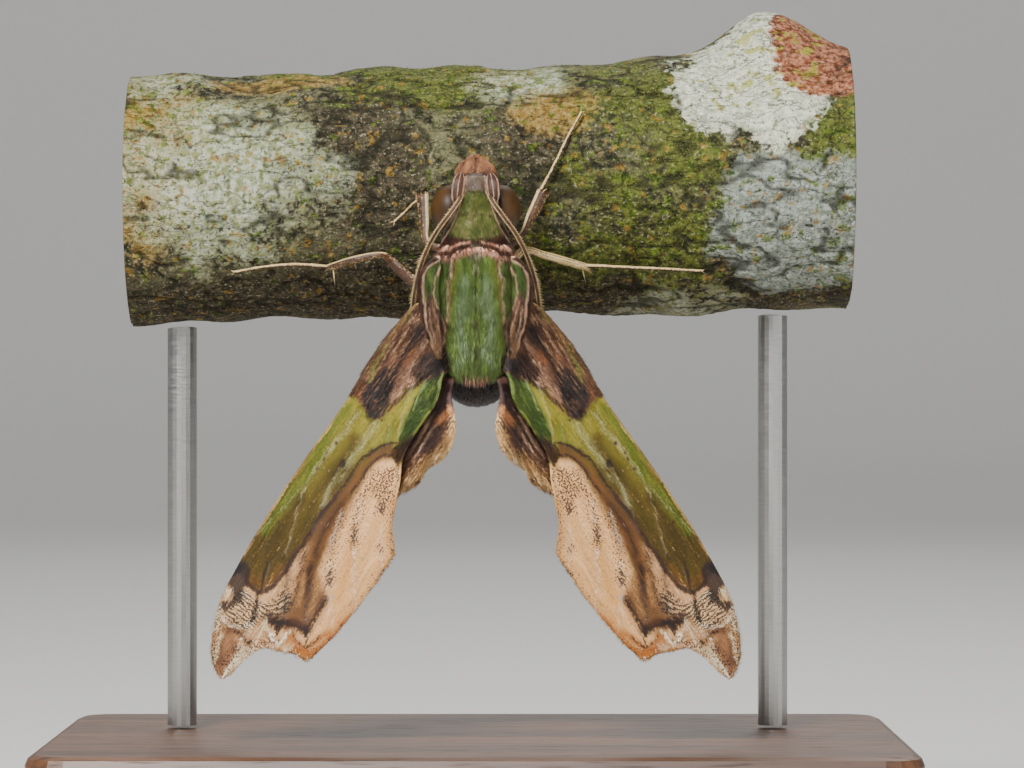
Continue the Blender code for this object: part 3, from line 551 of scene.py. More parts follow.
# The layers of colour from the bottom up: value, colour, second colour, edge, raggedness, strength
foreLayers = (
    ("oliveShade", "#3A2C05", "#483809", 0.60, 0.30, 0.94),
    ("lobeTip", "#4E300C", "#5E3C0E", 0.40, 0.24, 0.85),
    ("greenStripe", "#4C5E12", "#566016", 0.40, 0.16, 0.76),
    ("paleBand", "#A5A070", "#8C8C5E", 0.32, 0.22, 0.36),
    ("foldBrown", "#3B211A", "#5F3C28", 0.14, 0.20, 0.9),
    ("brownBand", "#72491F", "#4E3315", 0.26, 0.34, 0.92),
    ("beigeField", "#D8A46C", "#CC9862", 0.16, 0.14, 1.0),
    ("fieldShade", "#B67C38", "#C28C48", 0.55, 0.25, 0.8),
    ("fieldOchre", "#AE7836", "#BE8A48", 0.45, 0.25, 0.6),
    ("tipGround", "#CC9C6C", "#AC7C4E", 0.14, 0.22, 1.0),
    ("rippleZone", "#D4AE80", "#C29A6C", 0.14, 0.30, 0.85),
    ("tanShade", "#A06A36", "#8E6034", 0.45, 0.30, 0.60),
    ("orange", "#86420C", "#9A5A1C", 0.30, 0.24, 1.0),
    ("brownFade", "#6A431E", "#543416", 0.42, 0.34, 0.9),
    ("fadeDeep", "#2C180B", "#3A2010", 0.24, 0.24, 0.9),
    ("fadeTan", "#A87846", "#946638", 0.22, 0.24, 0.6),
    ("tipBrown", "#8A5C3A", "#4E301E", 0.16, 0.40, 0.95),
    ("lobeGreen", "#435C20", "#60702E", 0.14, 0.16, 1.0),
    ("basePatch", "#50301E", "#6C4630", 0.08, 0.10, 1.0),
    ("basePale", "#C69A7A", "#86604A", 0.08, 0.42, 0.90),
    ("baseOrange", "#8A4A22", "#A2683A", 0.14, 0.30, 0.70),
    ("baseDark", "#1A1012", "#2E1C18", 0.10, 0.22, 0.9),
    ("baseLine", "#A8805C", "#7C5A40", 0.05, 0.16, 0.75),
    ("baseGreen", "#6C6E22", "#8A8440", 0.12, 0.20, 0.75),
    ("charcoal", "#1A1415", "#2C2422", 0.12, 0.22, 0.93),
    ("veinPale", "#C4B494", "#A29272", 0.05, 0.08, 0.17),
    ("fieldVein", "#D8CCBC", "#A89A8A", 0.05, 0.22, 0.38),
    ("duskyLine", "#3C220F", "#4C2E18", 0.26, 0.22, 0.62),
    ("paleGrain", "#D8CDBA", "#C4B094", 0.10, 0.48, 0.34),
    ("darkLine", "#1E110C", "#301C14", 0.07, 0.10, 0.92),
    ("dotted", "#2A1C1C", "#3C2A28", 0.04, 0.42, 0.9),
    ("paleSpot", "#D6C8AE", "#B8A27E", 0.07, 0.20, 0.88),
    ("edgeTan", "#A98A52", "#7E5A34", 0.06, 0.10, 0.8),
)

hindMarks = {
    "strawEdge": [(6.5, [(493, 418), (498, 438), (506, 450), (517, 458), (527, 466), (537, 475),
                         (548, 490)])],
    "orangeSpot": [(4.0, [(501, 411), (508, 418)])],
    "darkStripe": [(4.5, [(502, 386), (505, 400), (508, 412)]), (3.6, [(511, 421), (520, 434), (531, 449)]),
                   (3, [(512, 402), (526, 424), (540, 446)])],
    "creamStripe": [(1.3, [(514, 410), (528, 433), (543, 456)]), (1.2, [(512, 420), (524, 438), (538, 458)])],
}
hindLayers = (
    ("strawEdge", "#E2BC82", "#BE8E56", 0.14, 0.46, 0.95),
    ("darkStripe", "#2C1A1C", "#46302C", 0.16, 0.15, 0.9),
    ("orangeSpot", "#B86A30", "#C98A58", 0.16, 0.14, 0.9),
    ("creamStripe", "#C09878", "#986E54", 0.08, 0.10, 0.85),
)


def wingDepth(x, z):
    dx, dz = x - wingShape["hinge"][0], z - wingShape["hinge"][1]
    c, s = math.cos(wingShape["angle"]), math.sin(wingShape["angle"])
    along, across = dx * c - dz * s, -dx * s - dz * c
    camber = 1 - ((across - wingShape["camberCentre"]) / wingShape["camberReach"]) ** 2
    depth = 0.3 - wingShape["lean"] * across + wingShape["sweep"] * along - wingShape["camber"] * camber
    return depth, along, across


def wingGrid(costa, margin, inner, rows, columns):
    # four-sided patch: s runs from the root to the outer margin, u from the costa to the inner margin
    s = np.linspace(0, 1, rows)[:, None, None]
    u = np.linspace(0, 1, columns)[None, :, None]
    steps = np.linspace(0, 1, 41)
    costa, inner, margin = smoothPath(costa, 41), smoothPath(inner, 41), np.array(margin)

    def on(border, t):
        places = np.linspace(0, 1, len(border))
        return np.stack([np.interp(t, places, border[:, i]) for i in range(2)], axis=-1)

    low, high, outer = on(costa, s[..., 0]), on(inner, s[..., 0]), on(margin, u[..., 0])
    root = costa[0] * (1 - u) + inner[0] * u
    flat = root * (1 - s) + (costa[-1] * (1 - u) + inner[-1] * u) * s
    return (low * (1 - u) + high * u + root * (1 - s) + outer * s - flat).reshape(-1, 2)


rippleShape = {"leftVein": 664.0, "midVein": 694.5, "sag": 7.0, "climb": 0.8, "wave": 2.1, "waveSize": 4.2}


def rippleRun(places):
    # how far down the tip's ripples a place lies, in mm: they sag between two veins and climb to the costa
    u, v = places.T
    cell = np.clip((u - rippleShape["leftVein"]) / (rippleShape["midVein"] - rippleShape["leftVein"]), 0, 1)
    wave = rippleShape["wave"] * waver(places, rippleShape["waveSize"], 71, 2)
    climb = rippleShape["climb"] * np.maximum(u - rippleShape["midVein"], 0)
    run = v - rippleShape["sag"] * 4 * cell * (1 - cell) + climb
    return (run + wave) / pixelsPerMm


def makeWing(name, side, borders, size, extraDepth, marks, material, slotName):
    rows, columns = size
    plan = wingGrid(*borders, rows, columns)
    depth, along, across = wingDepth(plan[:, 0], plan[:, 1])
    middle = np.stack([plan[:, 0], depth + extraDepth, plan[:, 1]], axis=1) + mothOrigin
    places = picturePlaces(middle)
    values = markValues(places, marks)
    if "rippleZone" in marks:
        values["rippleRun"] = rippleRun(places)
    tuck = np.clip((np.array(wingShape["tuckEdge"]) - places) / wingShape["tuckFade"], 0, 1).prod(axis=1)
    middle[:, 1] += wingShape["tuck"] * tuck  # the root bends in under the thorax fur
    ridge = 0
    if "veinPale" in values:
        off = ((wingShape["veinEdge"] - values["veinPale"]) / wingShape["veinWidth"]).clip(0)
        ridge = wingShape["veinHeight"] * np.exp(-off ** 2)
    lumps = waver(np.stack([along * 0.35, across], axis=1), wingShape["swellSize"], 3, 2)
    swell = wingShape["swell"] * lumps
    half = wingShape["halfThick"] * np.ones(len(plan))
    t = np.linspace(0, 1, rows).repeat(columns)
    u = np.tile(np.linspace(0, 1, columns), rows)
    inside = np.minimum(np.minimum(u, 1 - u) * wingShape["sideThinning"], (1 - t) * wingShape["endThinning"])
    half *= np.clip(inside + wingShape["rimShare"], 0, 1)
    back, front = middle.copy(), middle.copy()
    back[:, 1] += swell - half - ridge
    front[:, 1] += swell + half + ridge * 0.5
    faces = gridFaces(rows, columns)
    count = len(plan)
    order = np.arange(count).reshape(rows, columns)
    rim = np.concatenate([order[0], order[1:, -1], order[-1, -2::-1], order[-2:0:-1, 0]])
    after = np.roll(rim, -1)
    edge = np.stack([rim, rim + count, after + count, after], axis=1)
    faces = np.vstack([faces[:, ::-1], faces + count, edge[:, ::-1]])
    values = {key: np.tile(column, 2) for key, column in values.items()}
    values["underside"] = np.repeat([0.0, 1.0], count)
    wingMap = np.tile(np.stack([along, across], axis=1), (2, 1))
    points = np.vstack([back, front])
    points[:, 0] *= side
    if side < 0:
        faces = faces[:, ::-1]
    values["strand"] = np.full(2 * count, 0.5)
    piece = buildMesh(name + "_scales", points, faces, material, values, {"wingMap": wingMap})
    place(piece, slotName, name)
    return back, values, np.stack([t, u], axis=1), along, across


rippleWidth = 0.34  # mm from one dark ripple to the next


def wingMaterial(name, ground, layers, undersideColours, speckled):
    # Wing scales: overlapping dry flakes about 0.1 mm long, so matt with a faint silky sheen and a grainy,
    # streaky colour that breaks up every edge
    material, tree, shader = newMaterial(name)
    plan = addNode(tree, "UVMap", {"uv_map": "wingMap"})
    flake = grainAlong(tree, plan, (0.5, 1, 1), 0.12, 2)
    streak = grainAlong(tree, plan, (0.12, 1, 1), 0.22, 3)
    mottle = addNode(tree, "MapRange", {**smooth, "Value": grainAlong(tree, plan, (0.4, 1, 1), 1.1, 4),
        "From Min": 0.35, "From Max": 0.65})
    ragged = addNode(tree, "Math", {"operation": "MULTIPLY_ADD", 0: addNode(tree, "Math",
        {"operation": "ADD", 0: flake, 1: streak}), 1: 4.0, 2: -4.0})
    alongWing = addNode(tree, "SeparateXYZ", {"Vector": plan})
    nearTip = addNode(tree, "MapRange", {**smooth, "Value": alongWing, "From Min": ground["from"],
        "From Max": ground["to"]})
    colour = addNode(tree, "Mix", {**rgba, 0: nearTip, 6: addNode(tree, "Mix",
        {**rgba, 0: mottle, 6: ground["base"][0], 7: ground["base"][1]}, 2),
        7: addNode(tree, "Mix", {**rgba, 0: mottle, 6: ground["outer"][0], 7: ground["outer"][1]}, 2)}, 2)
    colour = paintLayers(tree, colour, layers, ragged, mottle)
    if speckled:
        # fine dark and tawny hair lines over the base, ripples at the tip and black dots on the pale parts
        stored = {key: addNode(tree, "Attribute", {"attribute_name": key}, "Fac") for key in
                  ("basePatch", "rippleRun", "rippleZone", "speckle")}
        hair = grainAlong(tree, plan, (0.1, 1, 1), 0.13, 3)
        base = addNode(tree, "MapRange",
                       {**smooth, "Value": stored["basePatch"], "From Min": -0.05, "From Max": 0.1})
        tawny = addNode(tree, "Math", {"operation": "MULTIPLY", 0: addNode(tree, "MapRange",
            {**smooth, "Value": hair, "From Min": 0.54, "From Max": 0.64, "To Max": 0.5}), 1: base})
        colour = addNode(tree, "Mix", {**rgba, 0: tawny, 6: colour, 7: addNode(tree, "Mix",
            {**rgba, 0: mottle, 6: "#B98C62", 7: "#8A5632"}, 2)}, 2)
        colour = addNode(tree, "Mix", {**rgba, 0: addNode(tree, "Math",
            {"operation": "MULTIPLY", 0: addNode(tree, "MapRange", {**smooth, "Value": hair, "From Min": 0.44,
            "From Max": 0.36, "To Max": 0.6}), 1: base}), 6: colour, 7: "#1C1110"}, 2)
        run = addNode(tree, "Math", {"operation": "MULTIPLY_ADD", 0: flake, 1: 0.55, 2: stored["rippleRun"]})
        wave = addNode(tree, "Math", {"operation": "SINE", 0: addNode(tree, "Math",
            {"operation": "MULTIPLY", 0: run, 1: 2 * math.pi / rippleWidth})})
        zone = addNode(tree, "MapRange", {**smooth, "Value": addNode(tree, "Math",
            {"operation": "MULTIPLY_ADD", 0: ragged, 1: 0.25, 2: stored["rippleZone"]}), "From Min": -0.08,
            "From Max": 0.12})
        ripple = addNode(tree, "Math", {"operation": "MULTIPLY", 0: addNode(tree, "MapRange",
            {**smooth, "Value": wave, "From Min": -0.35, "From Max": 0.15, "To Max": 0.92}), 1: zone})
        colour = addNode(tree, "Mix", {**rgba, 0: ripple, 6: colour, 7: addNode(tree, "Mix",
            {**rgba, 0: mottle, 6: "#1C1210", 7: "#32241E"}, 2)}, 2)
        grit = addNode(tree, "TexNoise", {"Vector": plan, "Scale": 1 / 0.15, "Detail": 1}, "Fac")
        zone = addNode(tree, "Math", {"operation": "MULTIPLY_ADD", 0: stored["speckle"], 1: 0.2, 2: grit})
        colour = colourOver(tree, colour, "#33201A", zone, 0.6, 0.635, 0.88)
    under = addNode(tree, "Mix", {**rgba, 0: mottle, 6: undersideColours[0], 7: undersideColours[1]}, 2)
    colour = addNode(tree, "Mix", {**rgba, 0: addNode(tree, "Attribute", {"attribute_name": "underside"},
        "Fac"), 6: colour, 7: under}, 2)
    grain = addNode(tree, "Math", {"operation": "ADD", 0: addNode(tree, "Math",
        {"operation": "MULTIPLY", 0: flake, 1: 0.55}), 1: addNode(tree, "Math",
        {"operation": "MULTIPLY", 0: streak, 1: 0.45})})
    light = addNode(tree, "MapRange", {**smooth, "Value": grain, "From Min": 0.34, "From Max": 0.66,
        "To Min": 0.68, "To Max": 1.28})
    strand = addNode(tree, "MapRange", {**smooth, "Value": addNode(tree, "Attribute",
        {"attribute_name": "strand"}, "Fac"), "From Min": 0, "From Max": 1, "To Min": 0.58, "To Max": 1.5})
    light = addNode(tree, "Math", {"operation": "MULTIPLY", 0: light, 1: strand})
    colour = shaded(tree, colour, light)
    setShader(shader, {"Base Color": colour, "Roughness": 0.62, "Specular IOR Level": 0.32,
                       "Sheen Weight": 0.12, "Sheen Roughness": 0.4})
    bumped(tree, shader, grain, 0.35, 0.035)
    return material


def fringeMaterial():
    # Edge scales: long loose flakes, so a ragged outline with light and dark tufts in turn
    material, tree, shader = newMaterial("wing edge scales")
    tone = addNode(tree, "Math", {"operation": "ADD", 0: addNode(tree, "Attribute",
        {"attribute_name": "fringeTone"}, "Fac"), 1: addNode(tree, "Math",
        {"operation": "MULTIPLY_ADD", 0: addNode(tree, "Attribute", {"attribute_name": "strand"}, "Fac"),
        1: 0.3, 2: -0.15})})
    colour = colourOver(tree, "#553322", "#BD8A52", tone, 0.12, 0.3)
    colour = colourOver(tree, colour, "#EBDDC4", tone, 0.6, 0.8)
    setShader(shader, {"Base Color": colour, "Roughness": 0.6, "Specular IOR Level": 0.3})
    return material


fringe = {"count": 2600, "length": 0.30, "width": 0.09, "lift": 0.05, "stray": 0.18, "thick": 0.4,
          "inwards": (0.05, 0.35), "scallops": 60, "scallopTone": 0.55, "linePoints": 600}


def makeFringe(name, side, border, extraDepth, tones, seed, slotName, material):
    # a row of loose scales that stands out round the wing's edge, in the wing's own plane
    chance = np.random.default_rng(seed)
    line = smoothPath(border, fringe["linePoints"])
    where = np.sort(chance.uniform(0, len(line) - 2, fringe["count"]))
    i = where.astype(int)
    spot = line[i] + (line[i + 1] - line[i]) * (where - i)[:, None]
    way = line[i + 1] - line[i]
    out = unit(np.stack([way[:, 1], -way[:, 0]], axis=1)) * -1
    inwards = chance.uniform(*fringe["inwards"], len(spot))
    spot = spot - out * inwards[:, None]
    depth, along, across = wingDepth(spot[:, 0], spot[:, 1])
    further = wingDepth(spot[:, 0] + out[:, 0] * 0.1, spot[:, 1] + out[:, 1] * 0.1)[0]
    roots = np.stack([spot[:, 0], depth + extraDepth + chance.uniform(-0.1, 0.1, len(spot)), spot[:, 1]],
                     axis=1)
    ways = unit(np.stack([out[:, 0], (further - depth) / 0.1, out[:, 1]], axis=1))
    share = where / (len(line) - 1)
    tone = np.interp(share, [t[0] for t in tones], [t[1] for t in tones])
    scallop = waver(np.stack([share * fringe["scallops"], share * 0], axis=1), 1.0, seed, 1)
    values = {"fringeTone": tone + fringe["scallopTone"] * scallop}
    size = dict(fringe, scale=0.8 + 0.35 * np.clip(scallop, -1, 1))
    roots += mothOrigin
    roots[:, 0] *= side
    ways[:, 0] *= side
    normals = np.tile((0.0, -1.0, 0.0), (len(roots), 1))
    bake = np.stack([share, inwards * 2.8], axis=1)
    piece = growTufts(name, roots, normals, ways, size, values, bake, material, seed)
    place(piece, slotName)


wingCoat = {"length": 0.60, "width": 0.052, "lift": 0.10, "stray": 0.14, "thick": 0.5, "count": 15000}


def makeWingCoat(name, side, back, values, bakePlaces, along, across, material, seed, slotName, zone):
    # longer hair-like scales on the wing's base and its furry lobe, lying towards the tip
    chance = np.random.default_rng(seed)
    chosen = chance.choice(np.flatnonzero(zone), wingCoat["count"])
    c, s = math.cos(wingShape["angle"]), math.sin(wingShape["angle"])
    turn = 0.22 * waver(np.stack([along[chosen], across[chosen]], axis=1), 1.2, seed, 2)
    flow = np.stack([c * np.cos(turn) - s * np.sin(turn), np.zeros(len(chosen)),
                     -s * np.cos(turn) - c * np.sin(turn)], axis=1)
    roots = back[chosen] + flow * chance.uniform(-0.1, 0.1, len(chosen))[:, None]
    ahead = wingDepth(roots[:, 0] + flow[:, 0] * 0.1, roots[:, 2] - mothOrigin[2] + flow[:, 2] * 0.1)[0]
    here = wingDepth(roots[:, 0], roots[:, 2] - mothOrigin[2])[0]
    flow[:, 1] = (ahead - here) / 0.1
    normals = unit(np.tile((wingShape["lean"] * s * 0.8, -1.0, wingShape["lean"] * c * 0.8),
                           (len(chosen), 1)))
    flow = unit(flow)
    picked = {key: column[chosen] for key, column in values.items() if key != "strand"}
    roots[:, 0] *= side
    flow[:, 0] *= side
    normals[:, 0] *= side
    piece = growTufts(name, roots, normals, flow, wingCoat, picked, bakePlaces[chosen], material, seed)
    lay = piece.data.uv_layers.new(name="wingMap")
    spots = np.repeat(np.stack([along[chosen], across[chosen]], axis=1), 4, axis=0)
    corners = np.zeros(len(piece.data.loops), np.int32)
    piece.data.loops.foreach_get("vertex_index", corners)
    lay.data.foreach_set("uv", spots[corners].astype(np.float32).ravel())
    place(piece, slotName)


foreMaterial = wingMaterial(
    "forewing scales",
    {"from": 4.0, "to": 22.0, "base": ("#726A10", "#847C26"), "outer": ("#3E3008", "#4C3A0C")}, foreLayers,
    ("#9A6A34", "#7E6A30"), True)
hindMaterial = wingMaterial(
    "hindwing scales",
    {"from": 6.0, "to": 20.0, "base": ("#4A2E26", "#5E4030"), "outer": ("#6A4228", "#8A5C34")}, hindLayers,
    ("#A06A30", "#8A5E34"), False)
edgeMaterial = fringeMaterial()
foreTones = ((0, 0.75), (0.12, 0.8), (0.3, 0.75), (0.38, 0.6), (0.46, 0.35), (0.55, 0.4), (0.84, 0.4),
             (0.92, 0.1), (1, 0.1))
for side, word in ((1, "right"), (-1, "left")):
    made = makeWing("forewing_" + word, side, (foreCosta, foreMargin, foreInner), (230, 120), 0.0, foreMarks,
                    foreMaterial, "wing_scales")
    back, values, bakePlaces, along, across = made
    hairy = np.maximum(values["basePatch"], values["lobeGreen"]) + values["foldBrown"].clip(-0.2, 0.1)
    makeWingCoat("forewing_fur_" + word, side, back, values, bakePlaces, along, across, foreMaterial,
                 11 + side, "wing_scales", np.maximum(hairy, values["foldBrown"])[:len(back)] > -0.02)
    makeFringe("forewing_fringe_" + word, side, foreMargin, 0.0, foreTones, 21 + side, "wing_scales",
               edgeMaterial)
    made = makeWing("hindwing_" + word, side, (hindCosta, hindMargin, hindInner), (120, 80),
                    wingShape["hindDepth"], hindMarks, hindMaterial, "hindwing_scales")
    back, values, bakePlaces, along, across = made
    makeWingCoat("hindwing_fur_" + word, side, back, values, bakePlaces, along, across, hindMaterial,
                 31 + side, "hindwing_scales", (back[:, 0] < 6.5) & (bakePlaces[:, 0] > 0.1))
    makeFringe("hindwing_fringe_" + word, side, hindMargin[5:], wingShape["hindDepth"],
               ((0, 0.55), (1, 0.5)), 41 + side, "hindwing_scales", edgeMaterial)
print("wings made")

# Perch: a cut length of branch with moss and lichen

perch = {"left": -28.0, "right": 30.0, "radius": 10.3, "y": 6.0, "z": 47.6, "rise": 0.024, "taper": 0.008,
         "knotX": 23.8, "knotReach": 4.6, "knotHeight": 4.0, "knotTurn": 85.0, "knotSpread": 0.5,
         "rows": 405, "columns": 240, "relief": 0.55, "sawnRings": (0.985, 0.8, 0.6, 0.4, 0.2, 0.02),
         "sawnDepth": 0.12}

# Growths on the bark: place along it, turn round it in degrees (180 faces the front, 90 is the top), reaches
barkGrowths = {
    "whiteLichen": [(-20.5, 172, 7.6, 40, 1.0), (-12.0, 178, 2.2, 14, 0.5), (-25.5, 115, 4.0, 16, 0.5),
                    (3.0, 118, 3.8, 20, 0.8), (16.5, 260, 5.0, 25, 0.7), (-8.0, 20, 8.0, 35, 0.8),
                    (14.0, 330, 6.0, 30, 0.8)],
    "crustLichen": [(22.0, 128, 7.6, 36, 1.2), (25.0, 95, 5.0, 24, 1.0), (10.0, 40, 5.0, 26, 0.9)],
    "greyLichen": [(25.2, 203, 7.2, 38, 1.2), (-22.0, 300, 6.0, 30, 0.8), (-2.0, 330, 5.0, 22, 0.8)],
    "ochre": [(-27.0, 150, 5.0, 55, 0.6), (-16.0, 116, 6.0, 10, 0.9), (2.0, 116, 3.0, 12, 0.6),
              (6.0, 143, 3.4, 15, 0.8)],
    # the small patches here are dark bark; the long band round the underside at turn 240 is painted shade
    "darkBarkAndShade": [(-9.0, 170, 4.6, 45, 0.9), (-10.0, 225, 9.0, 24, 0.8), (4.0, 165, 5.0, 26, 0.6),
                 (0.0, 240, 40.0, 34, 1.1), (12.0, 215, 12.0, 26, 0.8)],
    "mossy": [(13.5, 135, 6.0, 30, 0.5), (-3.0, 112, 9.0, 24, 0.7), (-27.0, 128, 4.0, 30, 0.6),
              (16.5, 172, 3.4, 20, 0.8), (12.0, 205, 8.0, 30, 0.4), (-14.0, 108, 4.0, 12, 0.8),
              (29.0, 170, 3.2, 60, 0.9), (0.0, 75, 26.0, 26, 0.6)],
    "bareWood": [(28.5, 112, 5.4, 30, 1.5)],
}
barkLayers = (
    # dark bark patches, and painted shade along the branch's underside
    ("darkBarkAndShade", "#2C281A", "#4E4434", 0.3, 0.6, 0.85),
    ("mossy", "#434C16", "#5E6620", 0.3, 1.0, 0.8),
    ("ochre", "#8A6A26", "#A08448", 0.3, 0.9, 0.8),
    ("whiteLichen", "#BEC2AA", "#7C8458", 0.30, 1.4, 0.8),
    ("greyLichen", "#9BA196", "#70786C", 0.10, 0.5, 0.95),
    ("crustLichen", "#DCDCC6", "#B4BA9E", 0.07, 0.5, 0.98),
    ("bareWood", "#B4785A", "#6E3820", 0.10, 0.5, 1.0),
)


def perchRadius(x, turn):
    along = (x - perch["knotX"]) / perch["knotReach"]
    around = (turn - math.radians(perch["knotTurn"])) / perch["knotSpread"]
    swell = perch["knotHeight"] * np.exp(-along ** 2 - around ** 2)
    return (perch["radius"] + perch["taper"] * x + 0.22 * np.sin(0.31 * x + 2 * turn)
            + 0.15 * np.sin(0.83 * x - 3 * turn + 1) + swell)


def perchPoints(x, turn, reach):
    return np.stack([x, perch["y"] + reach * np.cos(turn),
                     perch["z"] + perch["rise"] * x + reach * np.sin(turn)], axis=1)


def growthValues(x, turn):
    round3 = np.stack([x, 10 * np.cos(turn), 10 * np.sin(turn)], axis=1)
    ragged = 0.42 * waver(round3, 3.2, 5, 4)
    values = {}
    for name, spots in barkGrowths.items():
        best = np.full(len(x), -1.0)
        for cx, ct, rx, rt, strength in spots:
            dt = (np.degrees(turn) - ct + 180) % 360 - 180
            reach = 1 - np.hypot((x - cx) / rx, dt / rt)
            best = np.maximum(best, strength * np.where(reach > 0, reach, reach * 2))
        values[name] = np.clip(best + ragged * (0.6 if name != "bareWood" else 0.3), -1, 1.2)
        ragged = 0.42 * waver(round3, 3.0, len(values) + 6, 4)
    return values


def barkMaterial():
    # Old bark: corky and dry, so fully matt, cracked into small plates, with powdery crusts of lichen
    # and specks of moss in every hollow
    material, tree, shader = newMaterial("mossy bark")
    stored = {key: addNode(tree, "Attribute", {"attribute_name": key}, "Fac") for key in
              ("bareWood", "crustLichen", "mossy", "hollow", "ringRadius", "endGrain")}
    spot = addNode(tree, "TexCoord", {}, "Object")
    lump, fine, grit, speck, blot, meal = (
        addNode(tree, "TexNoise", {"Vector": spot, "Scale": 1 / (size * mm), "Detail": detail}, "Fac")
        for size, detail in ((2.6, 6), (0.5, 6), (0.22, 3), (0.9, 4), (0.8, 5), (1.1, 6)))
    crack = grainAlong(tree, spot, (0.45, 1, 1), 1.2 * mm, 6)
    ragged = addNode(tree, "Math", {"operation": "MULTIPLY_ADD", 0: addNode(tree, "Math",
        {"operation": "ADD", 0: lump, 1: fine}), 1: 1.4, 2: -1.4})
    mottle = addNode(tree, "MapRange", {**smooth, "Value": fine, "From Min": 0.36, "From Max": 0.64})
    colour = colourOver(tree, "#2A2B1D", "#5E5E40", lump, 0.42, 0.58)
    colour = addNode(tree, "Mix", {**rgba, 0: mottle, 6: colour, 7: addNode(tree, "Mix",
        {**rgba, 0: 0.45, 6: colour, 7: "#8A8260"}, 2)}, 2)
    colour = paintLayers(tree, colour, barkLayers, ragged, mottle)
    clean = addNode(tree, "MapRange", {**smooth, "Value": addNode(tree, "Math",
        {"operation": "MAXIMUM", 0: stored["bareWood"], 1: stored["crustLichen"]}), "From Min": 0.0,
        "From Max": 0.25, "To Min": 1.0, "To Max": 0.15})
    green = addNode(tree, "MapRange", {**smooth, "Value": addNode(tree, "Math",
        {"operation": "MULTIPLY_ADD", 0: stored["mossy"], 1: 0.05, 2: speck}), "From Min": 0.57,
        "From Max": 0.62, "To Max": 0.75})
    green = addNode(tree, "Math", {"operation": "MULTIPLY", 0: green, 1: clean})
    colour = addNode(tree, "Mix", {**rgba, 0: green, 6: colour, 7: addNode(tree, "Mix",
        {**rgba, 0: mottle, 6: "#34480F", 7: "#66761F"}, 2)}, 2)
    rust = addNode(tree, "Math", {"operation": "MULTIPLY", 0: addNode(tree, "MapRange",
        {**smooth, "Value": blot, "From Min": 0.6, "From Max": 0.66, "To Max": 0.7}), 1: clean})
    colour = addNode(tree, "Mix", {**rgba, 0: rust, 6: colour, 7: addNode(tree, "Mix",
        {**rgba, 0: mottle, 6: "#7A5A1C", 7: "#9A7A2E"}, 2)}, 2)
    crust = addNode(tree, "MapRange", {**smooth, "Value": stored["crustLichen"], "From Min": 0.1,
        "From Max": 0.5})
    yellow = addNode(tree, "MapRange", {**smooth, "Value": addNode(tree, "Math",
        {"operation": "MULTIPLY", 0: crust, 1: meal}), "From Min": 0.54, "From Max": 0.6, "To Max": 0.7})
    colour = addNode(tree, "Mix", {**rgba, 0: yellow, 6: colour, 7: "#9C9A2E"}, 2)
    flecks = colourOver(tree, colour, "#A9A486", grit, 0.6, 0.66, 0.5)
    colour = addNode(tree, "Mix", {**rgba, 0: addNode(tree, "MapRange",
        {**smooth, "Value": grit, "From Min": 0.34, "From Max": 0.41, "To Min": 0.7, "To Max": 0.0}),
        6: flecks, 7: "#1E1C10"}, 2)
    # the cracks and the hollows of the bark's relief are darkened: partly the bark's own darker crevices,
    # partly painted shade
    gap = addNode(tree, "MapRange", {**smooth, "Value": addNode(tree, "Math",
        {"operation": "ABSOLUTE", 0: addNode(tree, "Math", {"operation": "SUBTRACT", 0: crack, 1: 0.5})}),
        "From Min": 0.0, "From Max": 0.02, "To Min": 0.6, "To Max": 0.0})
    dark = addNode(tree, "Math", {"operation": "MAXIMUM", 0: addNode(tree, "Math", {"operation": "MULTIPLY",
        0: gap, 1: addNode(tree, "MapRange", {**smooth, "Value": lump, "From Min": 0.3, "From Max": 0.6,
            "To Min": 1.0, "To Max": 0.3})}), 1: addNode(tree, "MapRange",
        {**smooth, "Value": stored["hollow"], "From Min": 0.2, "From Max": 0.9, "To Max": 0.75})})
    colour = addNode(tree, "Mix", {**rgba, 0: dark, 6: colour, 7: "#1C1A10"}, 2)
    ring = addNode(tree, "TexNoise", {"Scale": 1.6, "Detail": 3.0, "Vector": addNode(tree, "CombineXYZ",
        {0: stored["ringRadius"], 1: addNode(tree, "Math", {"operation": "MULTIPLY", 0: lump, 1: 0.6})})},
        "Fac")
    wood = colourOver(tree, "#7E5836", "#C29C6C", ring, 0.35, 0.65)
    colour = addNode(tree, "Mix", {**rgba, 0: stored["endGrain"], 6: colour, 7: wood}, 2)
    setShader(shader, {"Base Color": colour, "Roughness": 0.88, "Specular IOR Level": 0.22})
    height = addNode(tree, "Math", {"operation": "MULTIPLY_ADD", 0: gap, 1: -0.5, 2: fine})
    height = addNode(tree, "Math", {"operation": "MULTIPLY_ADD", 0: grit, 1: 0.45, 2: height})
    bumped(tree, shader, height, 1.0, 0.34)
    return material


